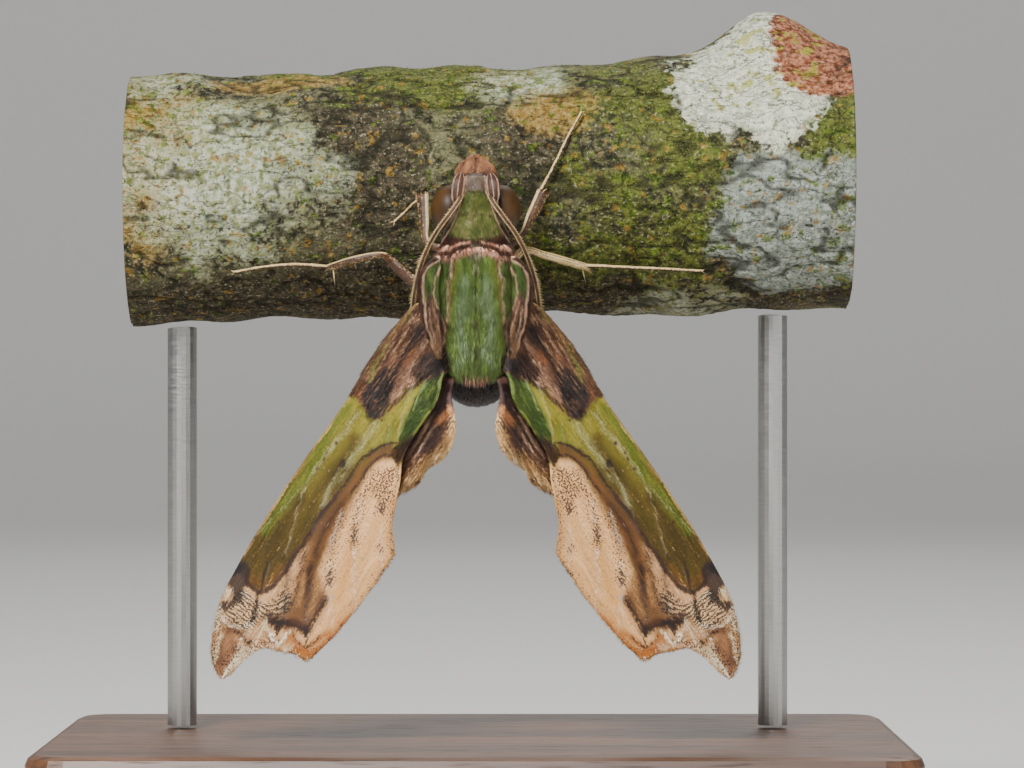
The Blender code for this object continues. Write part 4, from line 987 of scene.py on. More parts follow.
def makePerch(material):
    rows, columns = perch["rows"], perch["columns"]
    x, turn = ringPlaces(perch["left"], perch["right"], rows, columns)
    values = growthValues(x, turn)
    round3 = np.stack([x * 0.7, 10 * np.cos(turn), 10 * np.sin(turn)], axis=1)
    coarse = waver(round3, 3.6, 1, 4)
    plates = np.abs(waver(round3 * np.array([0.6, 1, 1]), 1.7, 2, 3))
    crumbs = waver(round3, 0.7, 3, 2)
    hollow = np.clip(1 - plates * 4, 0, 1)
    crust = np.maximum(values["crustLichen"], 0).clip(0, 0.35)
    lift = (0.20 * coarse - 0.30 * hollow * (1 - crust * 2) + 0.07 * crumbs + 0.5 * crust
            + 0.10 * values["greyLichen"].clip(0, 0.5) + 0.14 * values["mossy"].clip(0, 0.6) * (1 + crumbs))
    reach = perchRadius(x, turn) - 0.2 + perch["relief"] * np.clip(lift, -0.9, 0.75)
    points = perchPoints(x, turn, reach)
    values["hollow"] = hollow * (1 - crust * 2).clip(0, 1)
    values["endGrain"] = np.zeros(len(x))
    values["ringRadius"] = reach
    caps, capValues = [], {key: [] for key in values}
    for row, endX in ((0, perch["left"]), (rows - 1, perch["right"])):
        ring = slice(row * columns, (row + 1) * columns)
        for share in perch["sawnRings"]:
            # the sawn face lies a little inside the bark's edge
            capX = endX - np.sign(endX) * perch["sawnDepth"] * (share < perch["sawnRings"][0])
            caps.append(perchPoints(np.full(columns, capX), turn[ring], reach[ring] * share))
            changed = {"endGrain": np.ones(columns), "ringRadius": reach[ring] * share}
            for key in values:
                capValues[key].append(changed.get(key, values[key][ring]))
    faces = [gridFaces(rows, columns, True)]
    second = rows * columns - columns + np.arange(columns)
    for cap, row in ((0, 0), (1, rows - 1)):
        first = np.arange(columns) + row * columns
        for _ in perch["sawnRings"]:
            second = second + columns
            quads = np.stack([first, second, np.roll(second, -1), np.roll(first, -1)], axis=1)
            faces.append(quads if cap == 0 else quads[:, ::-1])
            first = second
    allValues = {key: np.concatenate([values[key]] + capValues[key]) for key in values}
    piece = buildMesh("perch_bark", np.vstack([points] + caps), np.vstack(faces), material, allValues)
    place(piece, "bark", "perch")


moss = {"tries": 60000, "count": 16000, "endGap": 0.4, "sunk": 0.28, "length": 0.20, "width": 0.12,
        "lift": 1.0, "stray": 0.5, "thick": 0.8}


def makeMoss(material):
    # short moss shoots on the damp top and in the green patches
    chance = np.random.default_rng(5)
    x = chance.uniform(perch["left"] + moss["endGap"], perch["right"] - moss["endGap"], moss["tries"])
    turn = chance.uniform(0, 2 * math.pi, len(x))
    values = growthValues(x, turn)
    wanted = (values["mossy"] > chance.uniform(-0.05, 0.7, len(x))) & (values["crustLichen"] < 0)
    wanted &= (values["greyLichen"] < 0) & (values["bareWood"] < 0)
    keep = np.flatnonzero(wanted)[:moss["count"]]
    x, turn = x[keep], turn[keep]
    roots = perchPoints(x, turn, perchRadius(x, turn) - moss["sunk"])
    normals = unit(perchPoints(x * 0, turn, np.ones(len(x))) - perchPoints(x * 0, turn, np.zeros(len(x))))
    ways = unit(chance.normal(0, 1, roots.shape))
    ways = unit(ways - normals * np.sum(ways * normals, axis=1)[:, None])
    bake = np.stack([(x - perch["left"]) / 60, turn / 6.3], axis=1)
    piece = growTufts("perch_moss", roots, normals, ways, moss, {"mossy": values["mossy"][keep]}, bake,
                      material, 6)
    place(piece, "bark")


def mossMaterial():
    # Moss: tiny living leaves, slightly glossy, so brighter tips over dark roots
    material, tree, shader = newMaterial("moss shoots")
    colour = addNode(tree, "Mix", {**rgba, 0: addNode(tree, "Attribute", {"attribute_name": "strand"}, "Fac"),
        6: "#3A4414", 7: "#666E20"}, 2)
    colour = colourOver(tree, colour, "#868C34",
                        addNode(tree, "Attribute", {"attribute_name": "tip"}, "Fac"), 0, 1, 0.5)
    setShader(shader, {"Base Color": colour, "Roughness": 0.65, "Specular IOR Level": 0.3})
    return material


makePerch(barkMaterial())
makeMoss(mossMaterial())
print("perch made")

# Stand

standFinish = {"grainWidth": 0.9, "poreWidth": 0.25, "brushWidth": 0.12}


def walnutMaterial():
    # Oiled walnut: open-pored wood sanded smooth, so long dark streaks under a soft satin shine
    material, tree, shader = newMaterial("oiled walnut")
    spot = addNode(tree, "TexCoord", {}, "Object")
    figure = grainAlong(tree, spot, (0.07, 1, 1), standFinish["grainWidth"] * 3 * mm, 5)
    grain = grainAlong(tree, spot, (0.05, 1, 1), standFinish["grainWidth"] * mm, 4)
    pore = grainAlong(tree, spot, (0.06, 1, 1), standFinish["poreWidth"] * mm, 2)
    colour = colourOver(tree, "#4A2F1E", "#7A5236", figure, 0.3, 0.7)
    colour = colourOver(tree, colour, "#3A2417", grain, 0.35, 0.7, 0.6)
    colour = colourOver(tree, colour, "#21140C", pore, 0.62, 0.7, 0.6)
    rough = addNode(tree, "MapRange", {**smooth, "Value": pore, "From Min": 0.5, "From Max": 0.7,
        "To Min": 0.42, "To Max": 0.65})
    setShader(shader, {"Base Color": colour, "Roughness": rough, "Coat Weight": 0.12, "Coat Roughness": 0.35})
    bumped(tree, shader, pore, 0.3, -0.04)
    return material


def steelMaterial():
    # Brushed stainless steel: fine lines round the rod, so a soft broad shine
    material, tree, shader = newMaterial("brushed stainless steel")
    spot = addNode(tree, "TexCoord", {}, "Object")
    brush = grainAlong(tree, spot, (0.1, 0.1, 1), standFinish["brushWidth"] * mm, 3)
    colour = addNode(tree, "Mix", {**rgba, 0: brush, 6: "#A8A8A6", 7: "#C9C8C4"}, 2)
    rough = addNode(tree, "MapRange", {**smooth, "Value": brush, "From Min": 0.3, "From Max": 0.7,
        "To Min": 0.28, "To Max": 0.42})
    setShader(shader, {"Base Color": colour, "Roughness": rough, "Metallic": 1.0})
    bumped(tree, shader, brush, 0.2, 0.01)
    return material


def dressNode(name, material):
    node = nodes[name]
    node.data.materials.clear()
    node.data.materials.append(material)


dressNode("stand_base", walnutMaterial())
steel = steelMaterial()
for name in ("stand_rod_left", "stand_rod_right"):
    dressNode(name, steel)
print("stand dressed")

# Body: one skin under a coat of hair-like scales

# From the snout to the tail tip: y, z, half width and half depth in mm from the thorax centre
bodyProfile = ((-1.3, 9.8, 0.9, 0.8), (-1.15, 9.2, 1.65, 1.5), (-0.9, 8.2, 2.1, 2.15), (-0.6, 6.9, 2.4, 2.6),
               (-0.4, 5.6, 2.7, 3.0), (-0.2, 4.4, 3.0, 3.3), (-0.1, 2.9, 3.35, 3.6), (0.0, 1.0, 3.6, 3.8),
               (0.1, -0.8, 3.5, 3.7), (0.4, -2.3, 3.3, 3.5), (1.1, -3.6, 3.15, 3.3), (2.6, -4.8, 3.1, 3.1),
               (4.8, -5.4, 3.1, 3.05), (7.8, -5.5, 3.0, 2.95), (11.0, -5.4, 2.65, 2.6),
               (14.0, -5.1, 2.0, 1.95), (16.6, -4.6, 1.2, 1.15), (18.3, -4.2, 0.45, 0.4))
bodyParts = {"headEnd": 3.0, "collarEnd": 5.6, "thoraxEnd": 14.1, "segments": 8, "coatDepth": 0.34,
             "rows": 260, "columns": 110}
bodyRows = smoothPath(bodyProfile, 240)
bodyRun = np.concatenate(([0], np.cumsum(np.hypot(np.diff(bodyRows[:, 0]), np.diff(bodyRows[:, 1])))))
bodyLength = bodyRun[-1]

# Marks of the body's right half as picture pixels of the photograph; the left half is its mirror image
bodyMarks = {
    "backGreen": [
        (None, [(468, 256), (495, 258), (499, 275), (502, 295), (504, 315), (507, 335), (508, 347),
                (504, 358), (496, 367), (484, 374), (468, 377)]),
        (None, [(489, 366), (503, 358), (503, 377), (491, 385)])],
    # pale streaks down the back and two pale spots on the collar's bumps: painted sheen and painted
    # highlights
    "paintedSheen": [
        (3.5, [(486, 276), (490, 300), (491, 328), (486, 350)]), (2.6, [(480, 298), (485, 308), (490, 320)]),
        (2.6, [(482, 352), (492, 362)]), (4.0, [(476, 226), (477, 230)]), (3.4, [(488, 226), (490, 231)])],
    "backEdge": [(2.2, [(496, 262), (500, 292), (503, 315), (506, 336), (507, 350)])],
    "sideGreen": [
        (None, [(499, 261), (507, 262), (513, 271), (517, 287), (515, 299), (510, 311), (507, 321),
                (504, 318), (502, 300), (500, 280)]),
        (None,
         [(510, 262), (518, 265), (525, 274), (527, 285), (524, 301), (520, 299), (518, 286), (515, 273)])],
    "violetTail": [
        (None, [(525, 290), (523, 312), (520, 332), (517, 348), (512, 352), (508, 343), (507, 327),
                (511, 312), (518, 298)])],
    "tanTuft": [(None, [(511, 343), (519, 339), (518, 364), (513, 367)]),
                (1.2, [(519, 300), (515, 320), (513, 342)])],
    "collarGreen": [
        (None,
         [(468, 212), (492, 212), (499, 220), (505, 233), (498, 239), (488, 238), (480, 243), (468, 243)])],
    "headOlive": [(None, [(468, 192), (484, 192), (489, 202), (493, 213), (468, 214)])],
    "headMauve": [(None, [(468, 165), (488, 166), (490, 194), (468, 196)]),
                  (3.5, [(494, 206), (501, 222), (509, 240)])],
    "snoutSalmon": [(None, [(460, 148), (502, 148), (499, 167), (460, 167)])],
    "collarBrown": [
        (None,
         [(468, 241), (482, 239), (497, 236), (507, 233), (514, 248), (500, 248), (484, 245), (468, 246)]),
        (2.2, [(476, 248), (490, 249), (500, 252), (511, 255)])],
    "pinkFuzz": [
        (1.3, [(481, 242), (491, 244), (500, 247), (508, 250.5), (514, 253)]),
        (1.7, [(475, 252), (485, 252.5), (494, 255), (502, 257.5), (510, 257.5), (517, 255)]),
        (1.5, [(474, 379), (486, 377)]), (1.0, [(474, 402), (492, 401)])],
    "creamLine": [
        (0.9, [(485, 175), (486, 188), (490, 200), (496, 203), (499, 198), (499, 184), (497, 175),
               (491, 172), (485, 175)]),
        (0.7, [(492, 177), (493, 188), (495, 199)]),
        (0.7, [(490, 202), (496, 218), (504, 234), (511, 245), (516, 254)]),
        (1.1, [(509, 260), (519, 264), (526.5, 274), (528.5, 286), (526, 304), (523, 327), (519, 344),
               (518, 361)]),
        (0.8, [(508, 261), (514, 273), (517, 287), (516, 298), (511, 311), (507, 324), (507, 336),
               (509, 344), (513, 351)]),
        (1.1, [(499, 260), (501.5, 275), (503, 300), (504, 320)]),
        (0.45, [(522, 308), (519, 326), (515, 342)]),
        (0.45, [(519, 302), (514, 320), (511, 336)])],
    "darkStroke": [
        (1.0, [(475.4, 272), (475.4, 330)]), (1.7, [(475.4, 347), (475.4, 363)]),
        (1.0, [(475, 158), (475, 173)]), (1.2, [(474, 173), (488, 174), (498, 176)]),
        (0.5, [(474, 217), (486, 215), (494, 219), (499, 227)]), (0.5, [(474, 193), (483, 192), (489, 196)]),
        (2.4, [(500, 224), (505, 234)]), (1.6, [(504, 322), (507, 346), (501, 362)]),
        (1.2, [(528, 300), (524, 335), (521, 355)])],
    "headGrey": [(3.6, [(473, 247), (478, 248)]), (3.4, [(474, 256), (480, 258)]),
                 (1.8, [(474, 262), (476, 272)])],
}
bodyLayers = (
    ("backGreen", "#839D4A", "#6D883B", 0.10, 0.06, 1.0),
    # painted sheen and painted highlights on the back and the collar
    ("paintedSheen", "#AFC0AC", "#98AE8C", 0.34, 0.20, 0.5),
    ("backEdge", "#8E7E30", "#7C7226", 0.18, 0.10, 0.85),
    ("sideGreen", "#6E8440", "#566E34", 0.08, 0.05, 1.0),
    ("violetTail", "#5E4034", "#94705E", 0.09, 0.20, 1.0),
    ("tanTuft", "#B58A5C", "#8E6440", 0.10, 0.12, 0.9),
    ("headMauve", "#8E7A6A", "#6E5A4C", 0.14, 0.12, 1.0),
    ("headOlive", "#5E6A2A", "#76783A", 0.16, 0.14, 1.0),
    ("collarGreen", "#6C7A34", "#969258", 0.12, 0.14, 1.0),
    ("snoutSalmon", "#9E6C46", "#643E26", 0.08, 0.18, 1.0),
    ("collarBrown", "#3E2016", "#5A3626", 0.10, 0.10, 0.95),
    ("headGrey", "#9C8C7C", "#7E7264", 0.12, 0.14, 0.8),
    ("darkStroke", "#321C14", "#46281A", 0.06, 0.05, 0.85),
    ("pinkFuzz", "#FFCAAC", "#E89E7E", 0.05, 0.07, 0.97),
    ("creamLine", "#E8C6A4", "#D2A98A", 0.05, 0.04, 0.95),
)


def bodySurface(distance, turn, inset=0.0):
    y, z, halfWidth, halfDepth = (np.interp(distance, bodyRun, bodyRows[:, i]) for i in range(4))
    ahead = [np.interp(distance + 0.2, bodyRun, bodyRows[:, i]) for i in range(2)]
    behind = [np.interp(distance - 0.2, bodyRun, bodyRows[:, i]) for i in range(2)]
    wayY, wayZ = ahead[0] - behind[0], ahead[1] - behind[1]
    size = np.maximum(np.hypot(wayY, wayZ), 1e-6)
    wayY, wayZ = wayY / size, wayZ / size
    across = np.sin(turn) * np.maximum(halfDepth - inset, 0.05)
    return np.stack([np.cos(turn) * np.maximum(halfWidth - inset, 0.05), y + wayZ * across,
                     z - wayY * across], axis=1) + mothOrigin


def bodyValues(points, facing, distance=None):
    # marks are drawn on what faces the photograph's camera and fade out round the sides
    folded = points.copy()
    folded[:, 0] = np.abs(folded[:, 0])
    places = picturePlaces(folded)
    places[:, 0] = np.maximum(places[:, 0], middleColumn - 0.4)
    values = markValues(places, bodyMarks)
    fade = np.clip((facing + 0.05) / 0.25, 0, 1)
    tail = np.zeros(len(points)) if distance is None else np.clip((distance - bodyParts["thoraxEnd"]) / 0.8,
        0, 1)
    for key in values:
        values[key] = values[key] * fade - 0.4 * (1 - fade)
        if key != "pinkFuzz":
            values[key] = values[key] * (1 - tail) - 0.5 * tail
    values["belly"] = np.clip(-(facing + 0.05) / 0.35, 0, 1)
    values["tail"] = tail
    values["band"] = np.zeros(len(points)) if distance is None else segmentPlace(distance)
    return values


def segmentPlace(distance):
    # how far along its abdomen segment a place is, from 0 to 1
    step = (bodyLength - bodyParts["thoraxEnd"]) / bodyParts["segments"]
    return np.where(distance > bodyParts["thoraxEnd"], ((distance - bodyParts["thoraxEnd"]) / step) % 1.0,
                    0.0)


def furMaterial(name, ground):
    # Hair-like scales: long dry flakes that lie flat, so silky light along the lie, dark gaps between locks
    material, tree, shader = newMaterial(name)
    stored = {key: addNode(tree, "Attribute", {"attribute_name": key}, "Fac") for key in
              ("band", "tail", "belly", "strand", "tip")}
    spot = addNode(tree, "TexCoord", {}, "Object")
    fine = grainAlong(tree, spot, (1, 1, 0.35), 0.16 * mm, 2)
    mottle = addNode(tree, "MapRange", {**smooth, "Value": addNode(tree, "TexNoise",
        {"Vector": spot, "Scale": 1 / (0.8 * mm), "Detail": 3}, "Fac"), "From Min": 0.35, "From Max": 0.65})
    ragged = addNode(tree, "Math", {"operation": "MULTIPLY_ADD", 0: fine, 1: 4.0, 2: -2.0})
    colour = addNode(tree, "Mix", {**rgba, 0: mottle, 6: ground[0], 7: ground[1]}, 2)
    colour = paintLayers(tree, colour, bodyLayers, ragged, mottle)
    ring = addNode(tree, "MapRange", {**smooth, "Value": stored["band"], "From Min": 0.72, "From Max": 0.92})
    # the abdomen's own dark brown, darkened to near black as painted shade, with paler brown rings
    tailColourAndShade = addNode(tree, "Mix", {**rgba, 0: ring, 6: addNode(tree, "Mix",
        {**rgba, 0: mottle, 6: "#070504", 7: "#0E0B07"}, 2), 7: "#33251A"}, 2)
    onTail = addNode(tree, "Math", {"operation": "MULTIPLY", 0: stored["tail"], 1: 0.92})
    colour = addNode(tree, "Mix", {**rgba, 0: onTail, 6: colour, 7: tailColourAndShade}, 2)
    belly = addNode(tree, "Mix", {**rgba, 0: mottle, 6: "#B79A74", 7: "#A07E5C"}, 2)
    colour = addNode(tree, "Mix", {**rgba, 0: stored["belly"], 6: colour, 7: belly}, 2)
    tone = addNode(tree, "MapRange", {**smooth, "Value": stored["strand"], "From Min": 0.1, "From Max": 0.9,
        "To Min": 0.58, "To Max": 1.28})
    tone = addNode(tree, "Math", {"operation": "MULTIPLY_ADD", 0: stored["tip"], 1: 0.25, 2: tone})
    tone = addNode(tree, "Math", {"operation": "MULTIPLY", 0: tone, 1: addNode(tree, "MapRange",
        {**smooth, "Value": fine, "From Min": 0.3, "From Max": 0.7, "To Min": 0.88, "To Max": 1.12})})
    colour = shaded(tree, colour, tone)
    setShader(shader, {"Base Color": colour, "Roughness": 0.52, "Specular IOR Level": 0.36,
                       "Sheen Weight": 0.12, "Sheen Roughness": 0.3})
    bumped(tree, shader, fine, 0.4, 0.05)
    return material


bodyFur = furMaterial("thorax and head fur", ("#4A3026", "#6A4A38"))


def growCoat(name, surface, a, b, flow, size, valuesAt, bakePlaces, material, seed, slotName, sign=-1.0):
    # flow is how much of the lie runs along each of the surface's two directions; valuesAt gives the marks
    # that the middle of each lock lies over
    step = 0.01
    roots = surface(a, b)
    alongA = unit(surface(a + step, b) - surface(a - step, b))
    alongB = unit(surface(a, b + step) - surface(a, b - step))
    normals = unit(np.cross(alongA, alongB)) * sign
    sway = 0.10 * waver(roots, 1.6, seed, 2)
    ways = alongA * flow[0][:, None] + alongB * (flow[1] + sway)[:, None]
    ways = ways + np.array(flow[2] if len(flow) > 2 else 0.0)
    ways = unit(ways - normals * np.sum(ways * normals, axis=1)[:, None])
    values = valuesAt(roots + ways * np.reshape(size["length"] * 0.5, (-1, 1)))
    piece = growTufts(name, roots, normals, ways, size, values, bakePlaces, material, seed)
    return place(piece, slotName)


def makeBodySkin():
    rows, columns = bodyParts["rows"], bodyParts["columns"]
    distance, turn = ringPlaces(0, bodyLength, rows, columns)
    inset = bodyParts["coatDepth"] + 0.06 * waver(bodySurface(distance, turn), 1.2, 9, 2)
    tail = np.clip((distance - bodyParts["thoraxEnd"]) / 0.5, 0, 1)
    inset += tail * 0.14 * (1 - np.minimum(segmentPlace(distance) * 1.25, 1))
    for edge, depth, reach in ((bodyParts["headEnd"], 0.10, 0.3), (bodyParts["collarEnd"], 0.16, 0.35)):
        inset += depth * np.exp(-((distance - edge) / reach) ** 2)
    middle = (distance > 7) & (distance < 13) & (np.sin(turn) > 0)
    inset += 0.12 * np.exp(-((np.cos(turn) * 3.5) / 0.2) ** 2) * middle
    points = bodySurface(distance, turn, inset)
    ends = [points[:columns].mean(0) + (0, 0, 0.08), points[-columns:].mean(0)]
    values = bodyValues(points, np.sin(turn), distance)
    values.update(strand=np.full(len(points), 0.15), tip=np.zeros(len(points)))
    values = {key: np.append(column, column[[0, -1]]) for key, column in values.items()}
    flat = unrolled(distance / bodyLength, turn)
    triangles = closedTube(rows, columns)
    # the end fans of this one skin are wound inward
    triangles[-2 * columns:] = triangles[-2 * columns:][:, [0, 2, 1]]
    piece = buildMesh("body_skin", np.vstack([points, ends]), triangles, bodyFur, values,
                      {"skinMap": np.vstack([flat, flat[[0, -1]]])})
    place(piece, "green_fur", "head", "collar", "thorax", "abdomen")


# Each coat: stretch of the body, number of locks, size in mm, how far the lie turns to the middle line,
# and the lowest sine of the turn that it covers, so 0 is the back half only
coats = {
    "head_fur": {"from": 0.1, "to": 2.95, "count": 20000, "length": 0.38, "width": 0.042, "lift": 0.20,
                 "turn": 0.15, "lowest": -1.0},
    "collar_fur": {"from": 2.85, "to": 5.7, "count": 24000, "length": 0.50, "width": 0.042, "lift": 0.18,
                   "turn": 0.1, "lowest": -1.0},
    "thorax_fur": {"from": 5.3, "to": 14.3, "count": 47000, "length": 0.95, "width": 0.048, "lift": 0.11,
                   "turn": 0.75, "lowest": -0.1},
    "thorax_under_fur": {"from": 5.3, "to": 14.3, "count": 14000, "length": 1.0, "width": 0.075,
                         "lift": 0.16, "turn": 0.0, "lowest": -1.0},
    "abdomen_fur": {"from": 14.0, "to": bodyLength - 0.1, "count": 24000, "length": 0.70, "width": 0.07,
                    "lift": 0.15, "turn": 0.0, "lowest": -1.0},
}


def makeBodyCoats():
    for seed, (name, coat) in enumerate(coats.items(), 50):
        chance = np.random.default_rng(seed)
        distance = chance.uniform(coat["from"], coat["to"], coat["count"] * 3)
        width = np.interp(distance, bodyRun, bodyRows[:, 2])
        keep = np.flatnonzero(chance.uniform(0, width.max(), len(width)) < width)[:coat["count"]]
        distance, width = distance[keep], width[keep]
        edge = math.asin(coat["lowest"])
        turn = chance.uniform(edge, math.pi - edge, len(distance))
        if name == "thorax_under_fur":
            turn = -turn

        def surface(a, b):
            return bodySurface(a, b, bodyParts["coatDepth"] - 0.02)

        def marks(points):
            return bodyValues(points, np.sin(turn), distance)

        near = marks(surface(distance + coat["length"] * 0.5, turn))
        fuzzy = np.clip(near["pinkFuzz"] * 8 + 0.8, 0, 1) * (distance < bodyParts["thoraxEnd"])
        strict = np.clip(near["creamLine"] * 20 + 1, 0, 1)
        size = {"length": coat["length"] * (1 - 0.3 * strict - 0.35 * fuzzy), "width": coat["width"],
                "lift": coat["lift"] + 0.35 * fuzzy + 0.1 * strict, "stray": 0.12, "thick": 0.6}
        if name == "thorax_fur":
            # the hair leans in to the middle line from both sides and stops there in a parting
            size["scale"] = np.clip(np.abs(np.cos(turn)) * width / (coat["length"] * 0.7), 0.3, 1)
        towards = coat["turn"] * np.tanh(np.cos(turn) * 3.5) * np.clip(np.sin(turn) + 0.3, 0, 1)
        bake = unrolled(distance / bodyLength, turn)
        slotName = "brown_fur" if name == "abdomen_fur" else "green_fur"
        growCoat(name, surface, distance, turn, (np.ones(len(turn)), towards), size, marks, bake, bodyFur,
                 seed, slotName)


rearFringe = {"from": 10.6, "to": 13.7, "spread": 1.25, "count": 5200, "length": 1.25, "width": 0.05,
              "lift": 0.12, "stray": 0.10, "thick": 0.6, "bent": 1, "seed": 58}


def makeRearFringe():
    # long hair at the thorax's rear edge, hanging straight over the abdomen and the wing roots
    chance = np.random.default_rng(rearFringe["seed"])
    count = rearFringe["count"]
    distance = chance.uniform(rearFringe["from"], rearFringe["to"], count)
    turn = math.pi / 2 + chance.uniform(-rearFringe["spread"], rearFringe["spread"], count)
    roots = bodySurface(distance, turn, bodyParts["coatDepth"])
    ways = unit(np.stack([-0.13 * roots[:, 0], 0.25 + chance.normal(0, 0.08, count), -np.ones(count)],
                         axis=1))
    normals = np.tile((0.0, -1.0, 0.0), (count, 1))
    normals = unit(normals - ways * np.sum(normals * ways, axis=1)[:, None])
    values = bodyValues(roots + ways * 0.7, np.ones(count))
    bake = unrolled(distance / bodyLength, turn, 0.3)
    piece = growTufts("thorax_rear_fur", roots, normals, ways, rearFringe, values, bake, bodyFur,
                      rearFringe["seed"])
    place(piece, "green_fur")


makeBodySkin()
makeBodyCoats()
makeRearFringe()
print("body made")

# Shoulder covers

# z, centre x, centre y, half width and half thickness in mm
tegulaProfile = ((3.4, 2.9, -2.2, 0.35, 0.3), (2.6, 3.3, -2.0, 0.95, 0.5), (1.2, 3.65, -1.9, 1.25, 0.55),
                 (0.0, 3.6, -2.0, 1.2, 0.55), (-1.6, 3.4, -2.2, 0.95, 0.5), (-3.0, 3.1, -2.4, 0.7, 0.45),
                 (-4.2, 2.8, -2.5, 0.35, 0.3))
tegula = {"slope": math.radians(48), "inset": 0.12, "rows": 70, "columns": 40, "tufts": 16000,
          "length": 0.50, "width": 0.036, "lift": 0.13}
tegulaRows = smoothPath(tegulaProfile, 60)


def tegulaSurface(share, turn, side, inset):
    z, x, y, halfWidth, halfThick = (np.interp(share, np.linspace(0, 1, 60), tegulaRows[:, i])
        for i in range(5))
    across = np.cos(turn) * np.maximum(halfWidth - inset, 0.03)
    out = np.sin(turn) * np.maximum(halfThick - inset, 0.03)
    c, s = math.cos(tegula["slope"]), math.sin(tegula["slope"])
    return np.stack([side * (x + across * c + out * s), y + across * s - out * c, z], axis=1) + mothOrigin


def makeTegula(word, side, seed):
    share, turn = ringPlaces(0, 1, tegula["rows"], tegula["columns"])
    points = tegulaSurface(share, turn, side, tegula["inset"])
    facing = np.sin(turn)
    values = bodyValues(points, facing + 0.3)
    values.update(strand=np.full(len(points), 0.2), tip=np.zeros(len(points)))
    faces = gridFaces(tegula["rows"], tegula["columns"], True)
    piece = buildMesh("tegula_skin_" + word, points, faces if side < 0 else faces[:, ::-1], bodyFur, values,
                      {"skinMap": unrolled(share, turn)})
    place(piece, "green_fur", "tegula_" + word)
    chance = np.random.default_rng(seed)
    share = chance.uniform(0.01, 0.97, tegula["tufts"])
    turn = chance.uniform(-0.4, math.pi + 0.4, len(share))

    def surface(a, b):
        return tegulaSurface(a, b, side, tegula["inset"] - 0.02)

    def marks(points):
        return bodyValues(points, np.sin(turn) + 0.3)

    strict = np.clip(marks(surface(share + 0.04, turn))["creamLine"] * 20 + 1, 0, 1)
    size = {"length": tegula["length"] * (1 - 0.25 * strict), "width": tegula["width"],
            "lift": tegula["lift"] + 0.12 * strict, "stray": 0.12, "thick": 0.6}
    bake = unrolled(share, turn, 0.1)
    growCoat("tegula_fur_" + word, surface, share, turn, (np.ones(len(share)), 0.15 * np.cos(turn)), size,
             marks, bake, bodyFur, seed, "green_fur", side * -1.0)


for side, word in ((1, "right"), (-1, "left")):
    makeTegula(word, side, 60 + side)
print("shoulder covers made")

# Limbs: palps, scapes, antennae and legs


def makeCourse(path, radii, count, flatness=1.0):
    # a limb's centre line with its radius and two directions across it
    rows = smoothPath([(*p, r) for p, r in zip(path, radii)], count)
    ways = unit(np.gradient(rows[:, :3], axis=0))
    sides = np.zeros_like(ways)
    side = np.cross(ways[0], (0.0, -1.0, 0.0))
    for i, way in enumerate(ways):
        side = side - way * (side @ way)
        side /= np.linalg.norm(side)
        sides[i] = side
    return {"centres": rows[:, :3] + mothOrigin, "radius": rows[:, 3], "sides": sides,
            "ups": np.cross(ways, sides), "flatness": flatness}


def courseSurface(course, share, turn, change=0.0):
    steps = np.linspace(0, 1, len(course["radius"]))
    radius = np.maximum(np.interp(share, steps, course["radius"]) + change, 0.02)

    def at(key):
        return np.stack([np.interp(share, steps, course[key][:, i]) for i in range(3)], axis=1)

    return (at("centres") + at("sides") * (np.cos(turn) * radius)[:, None]
            + at("ups") * (np.sin(turn) * radius * course["flatness"])[:, None])


def limbMesh(name, course, rows, columns, material, change, values):
    share, turn = ringPlaces(0, 1, rows, columns)
    points = courseSurface(course, share, turn, change(share, turn))
    points = np.vstack([points, points[:columns].mean(0), points[-columns:].mean(0)])
    share, turn = np.append(share, (0, 1)), np.append(turn, (0, 0))
    made = dict(values(points, share, turn), tip=np.zeros(len(points)))
    made.setdefault("strand", np.full(len(points), 0.3))
    return buildMesh(name, points, closedTube(rows, columns), material, made,
                     {"skinMap": unrolled(share, turn)})


palp = {"path": ((0.7, 1.6, 7.4), (0.75, 1.3, 8.3), (0.68, 0.6, 9.2), (0.52, -0.1, 9.9), (0.3, -0.6, 10.45),
                 (0.16, -0.85, 10.8), (0.1, -0.95, 10.95)),
        "radii": (0.5, 0.85, 1.0, 0.95, 0.64, 0.36, 0.06), "rows": 80, "columns": 32, "brow": 9.62,
        "tufts": 9000, "hair": {"length": 0.36, "width": 0.055, "lift": 0.36, "stray": 0.25, "thick": 0.6}}


def mirrored(path, side):
    return [(side * x, y, z) for x, y, z in path]


def makePalp(word, side, seed):
    course = makeCourse(mirrored(palp["path"], side), palp["radii"], 60)

    def salmon(points, *_):
        rise = points[:, 2] - mothOrigin[2] - palp["brow"]
        values = {key: np.full(len(points), -0.4) for key in bodyMarks}
        values.update(snoutSalmon=rise, headMauve=-rise,
                      darkStroke=np.maximum(0.18 - np.abs(rise), 0.10 - np.abs(points[:, 0]) * 0.8))
        return values

    piece = limbMesh("palp_skin_" + word, course, palp["rows"], palp["columns"], bodyFur,
                     lambda s, t: s * 0, salmon)
    place(piece, "brown_fur", "palp_" + word)
    chance = np.random.default_rng(seed)
    share = chance.uniform(0.3, 0.99, palp["tufts"])
    turn = chance.uniform(0, 2 * math.pi, len(share))

    def surface(a, b):
        return courseSurface(course, a, b, -0.02)

    growCoat("palp_fur_" + word, surface, share, turn,
             (np.full(len(share), 0.2), share * 0, (0.0, -0.3, 1.0)), palp["hair"], salmon,
             unrolled(share, turn), bodyFur, seed, "brown_fur")


scape = {"path": ((1.15, -2.0, 9.75), (1.25, -2.35, 9.3), (1.36, -2.6, 8.6), (1.42, -2.7, 7.9),
                  (1.4, -2.7, 7.5)),
         "radii": (0.22, 0.42, 0.46, 0.38, 0.22), "flatness": 0.45, "rows": 40, "columns": 32,
         "tufts": 1600, "hair": {"length": 0.26, "width": 0.036, "lift": 0.2, "stray": 0.15, "thick": 0.6}}


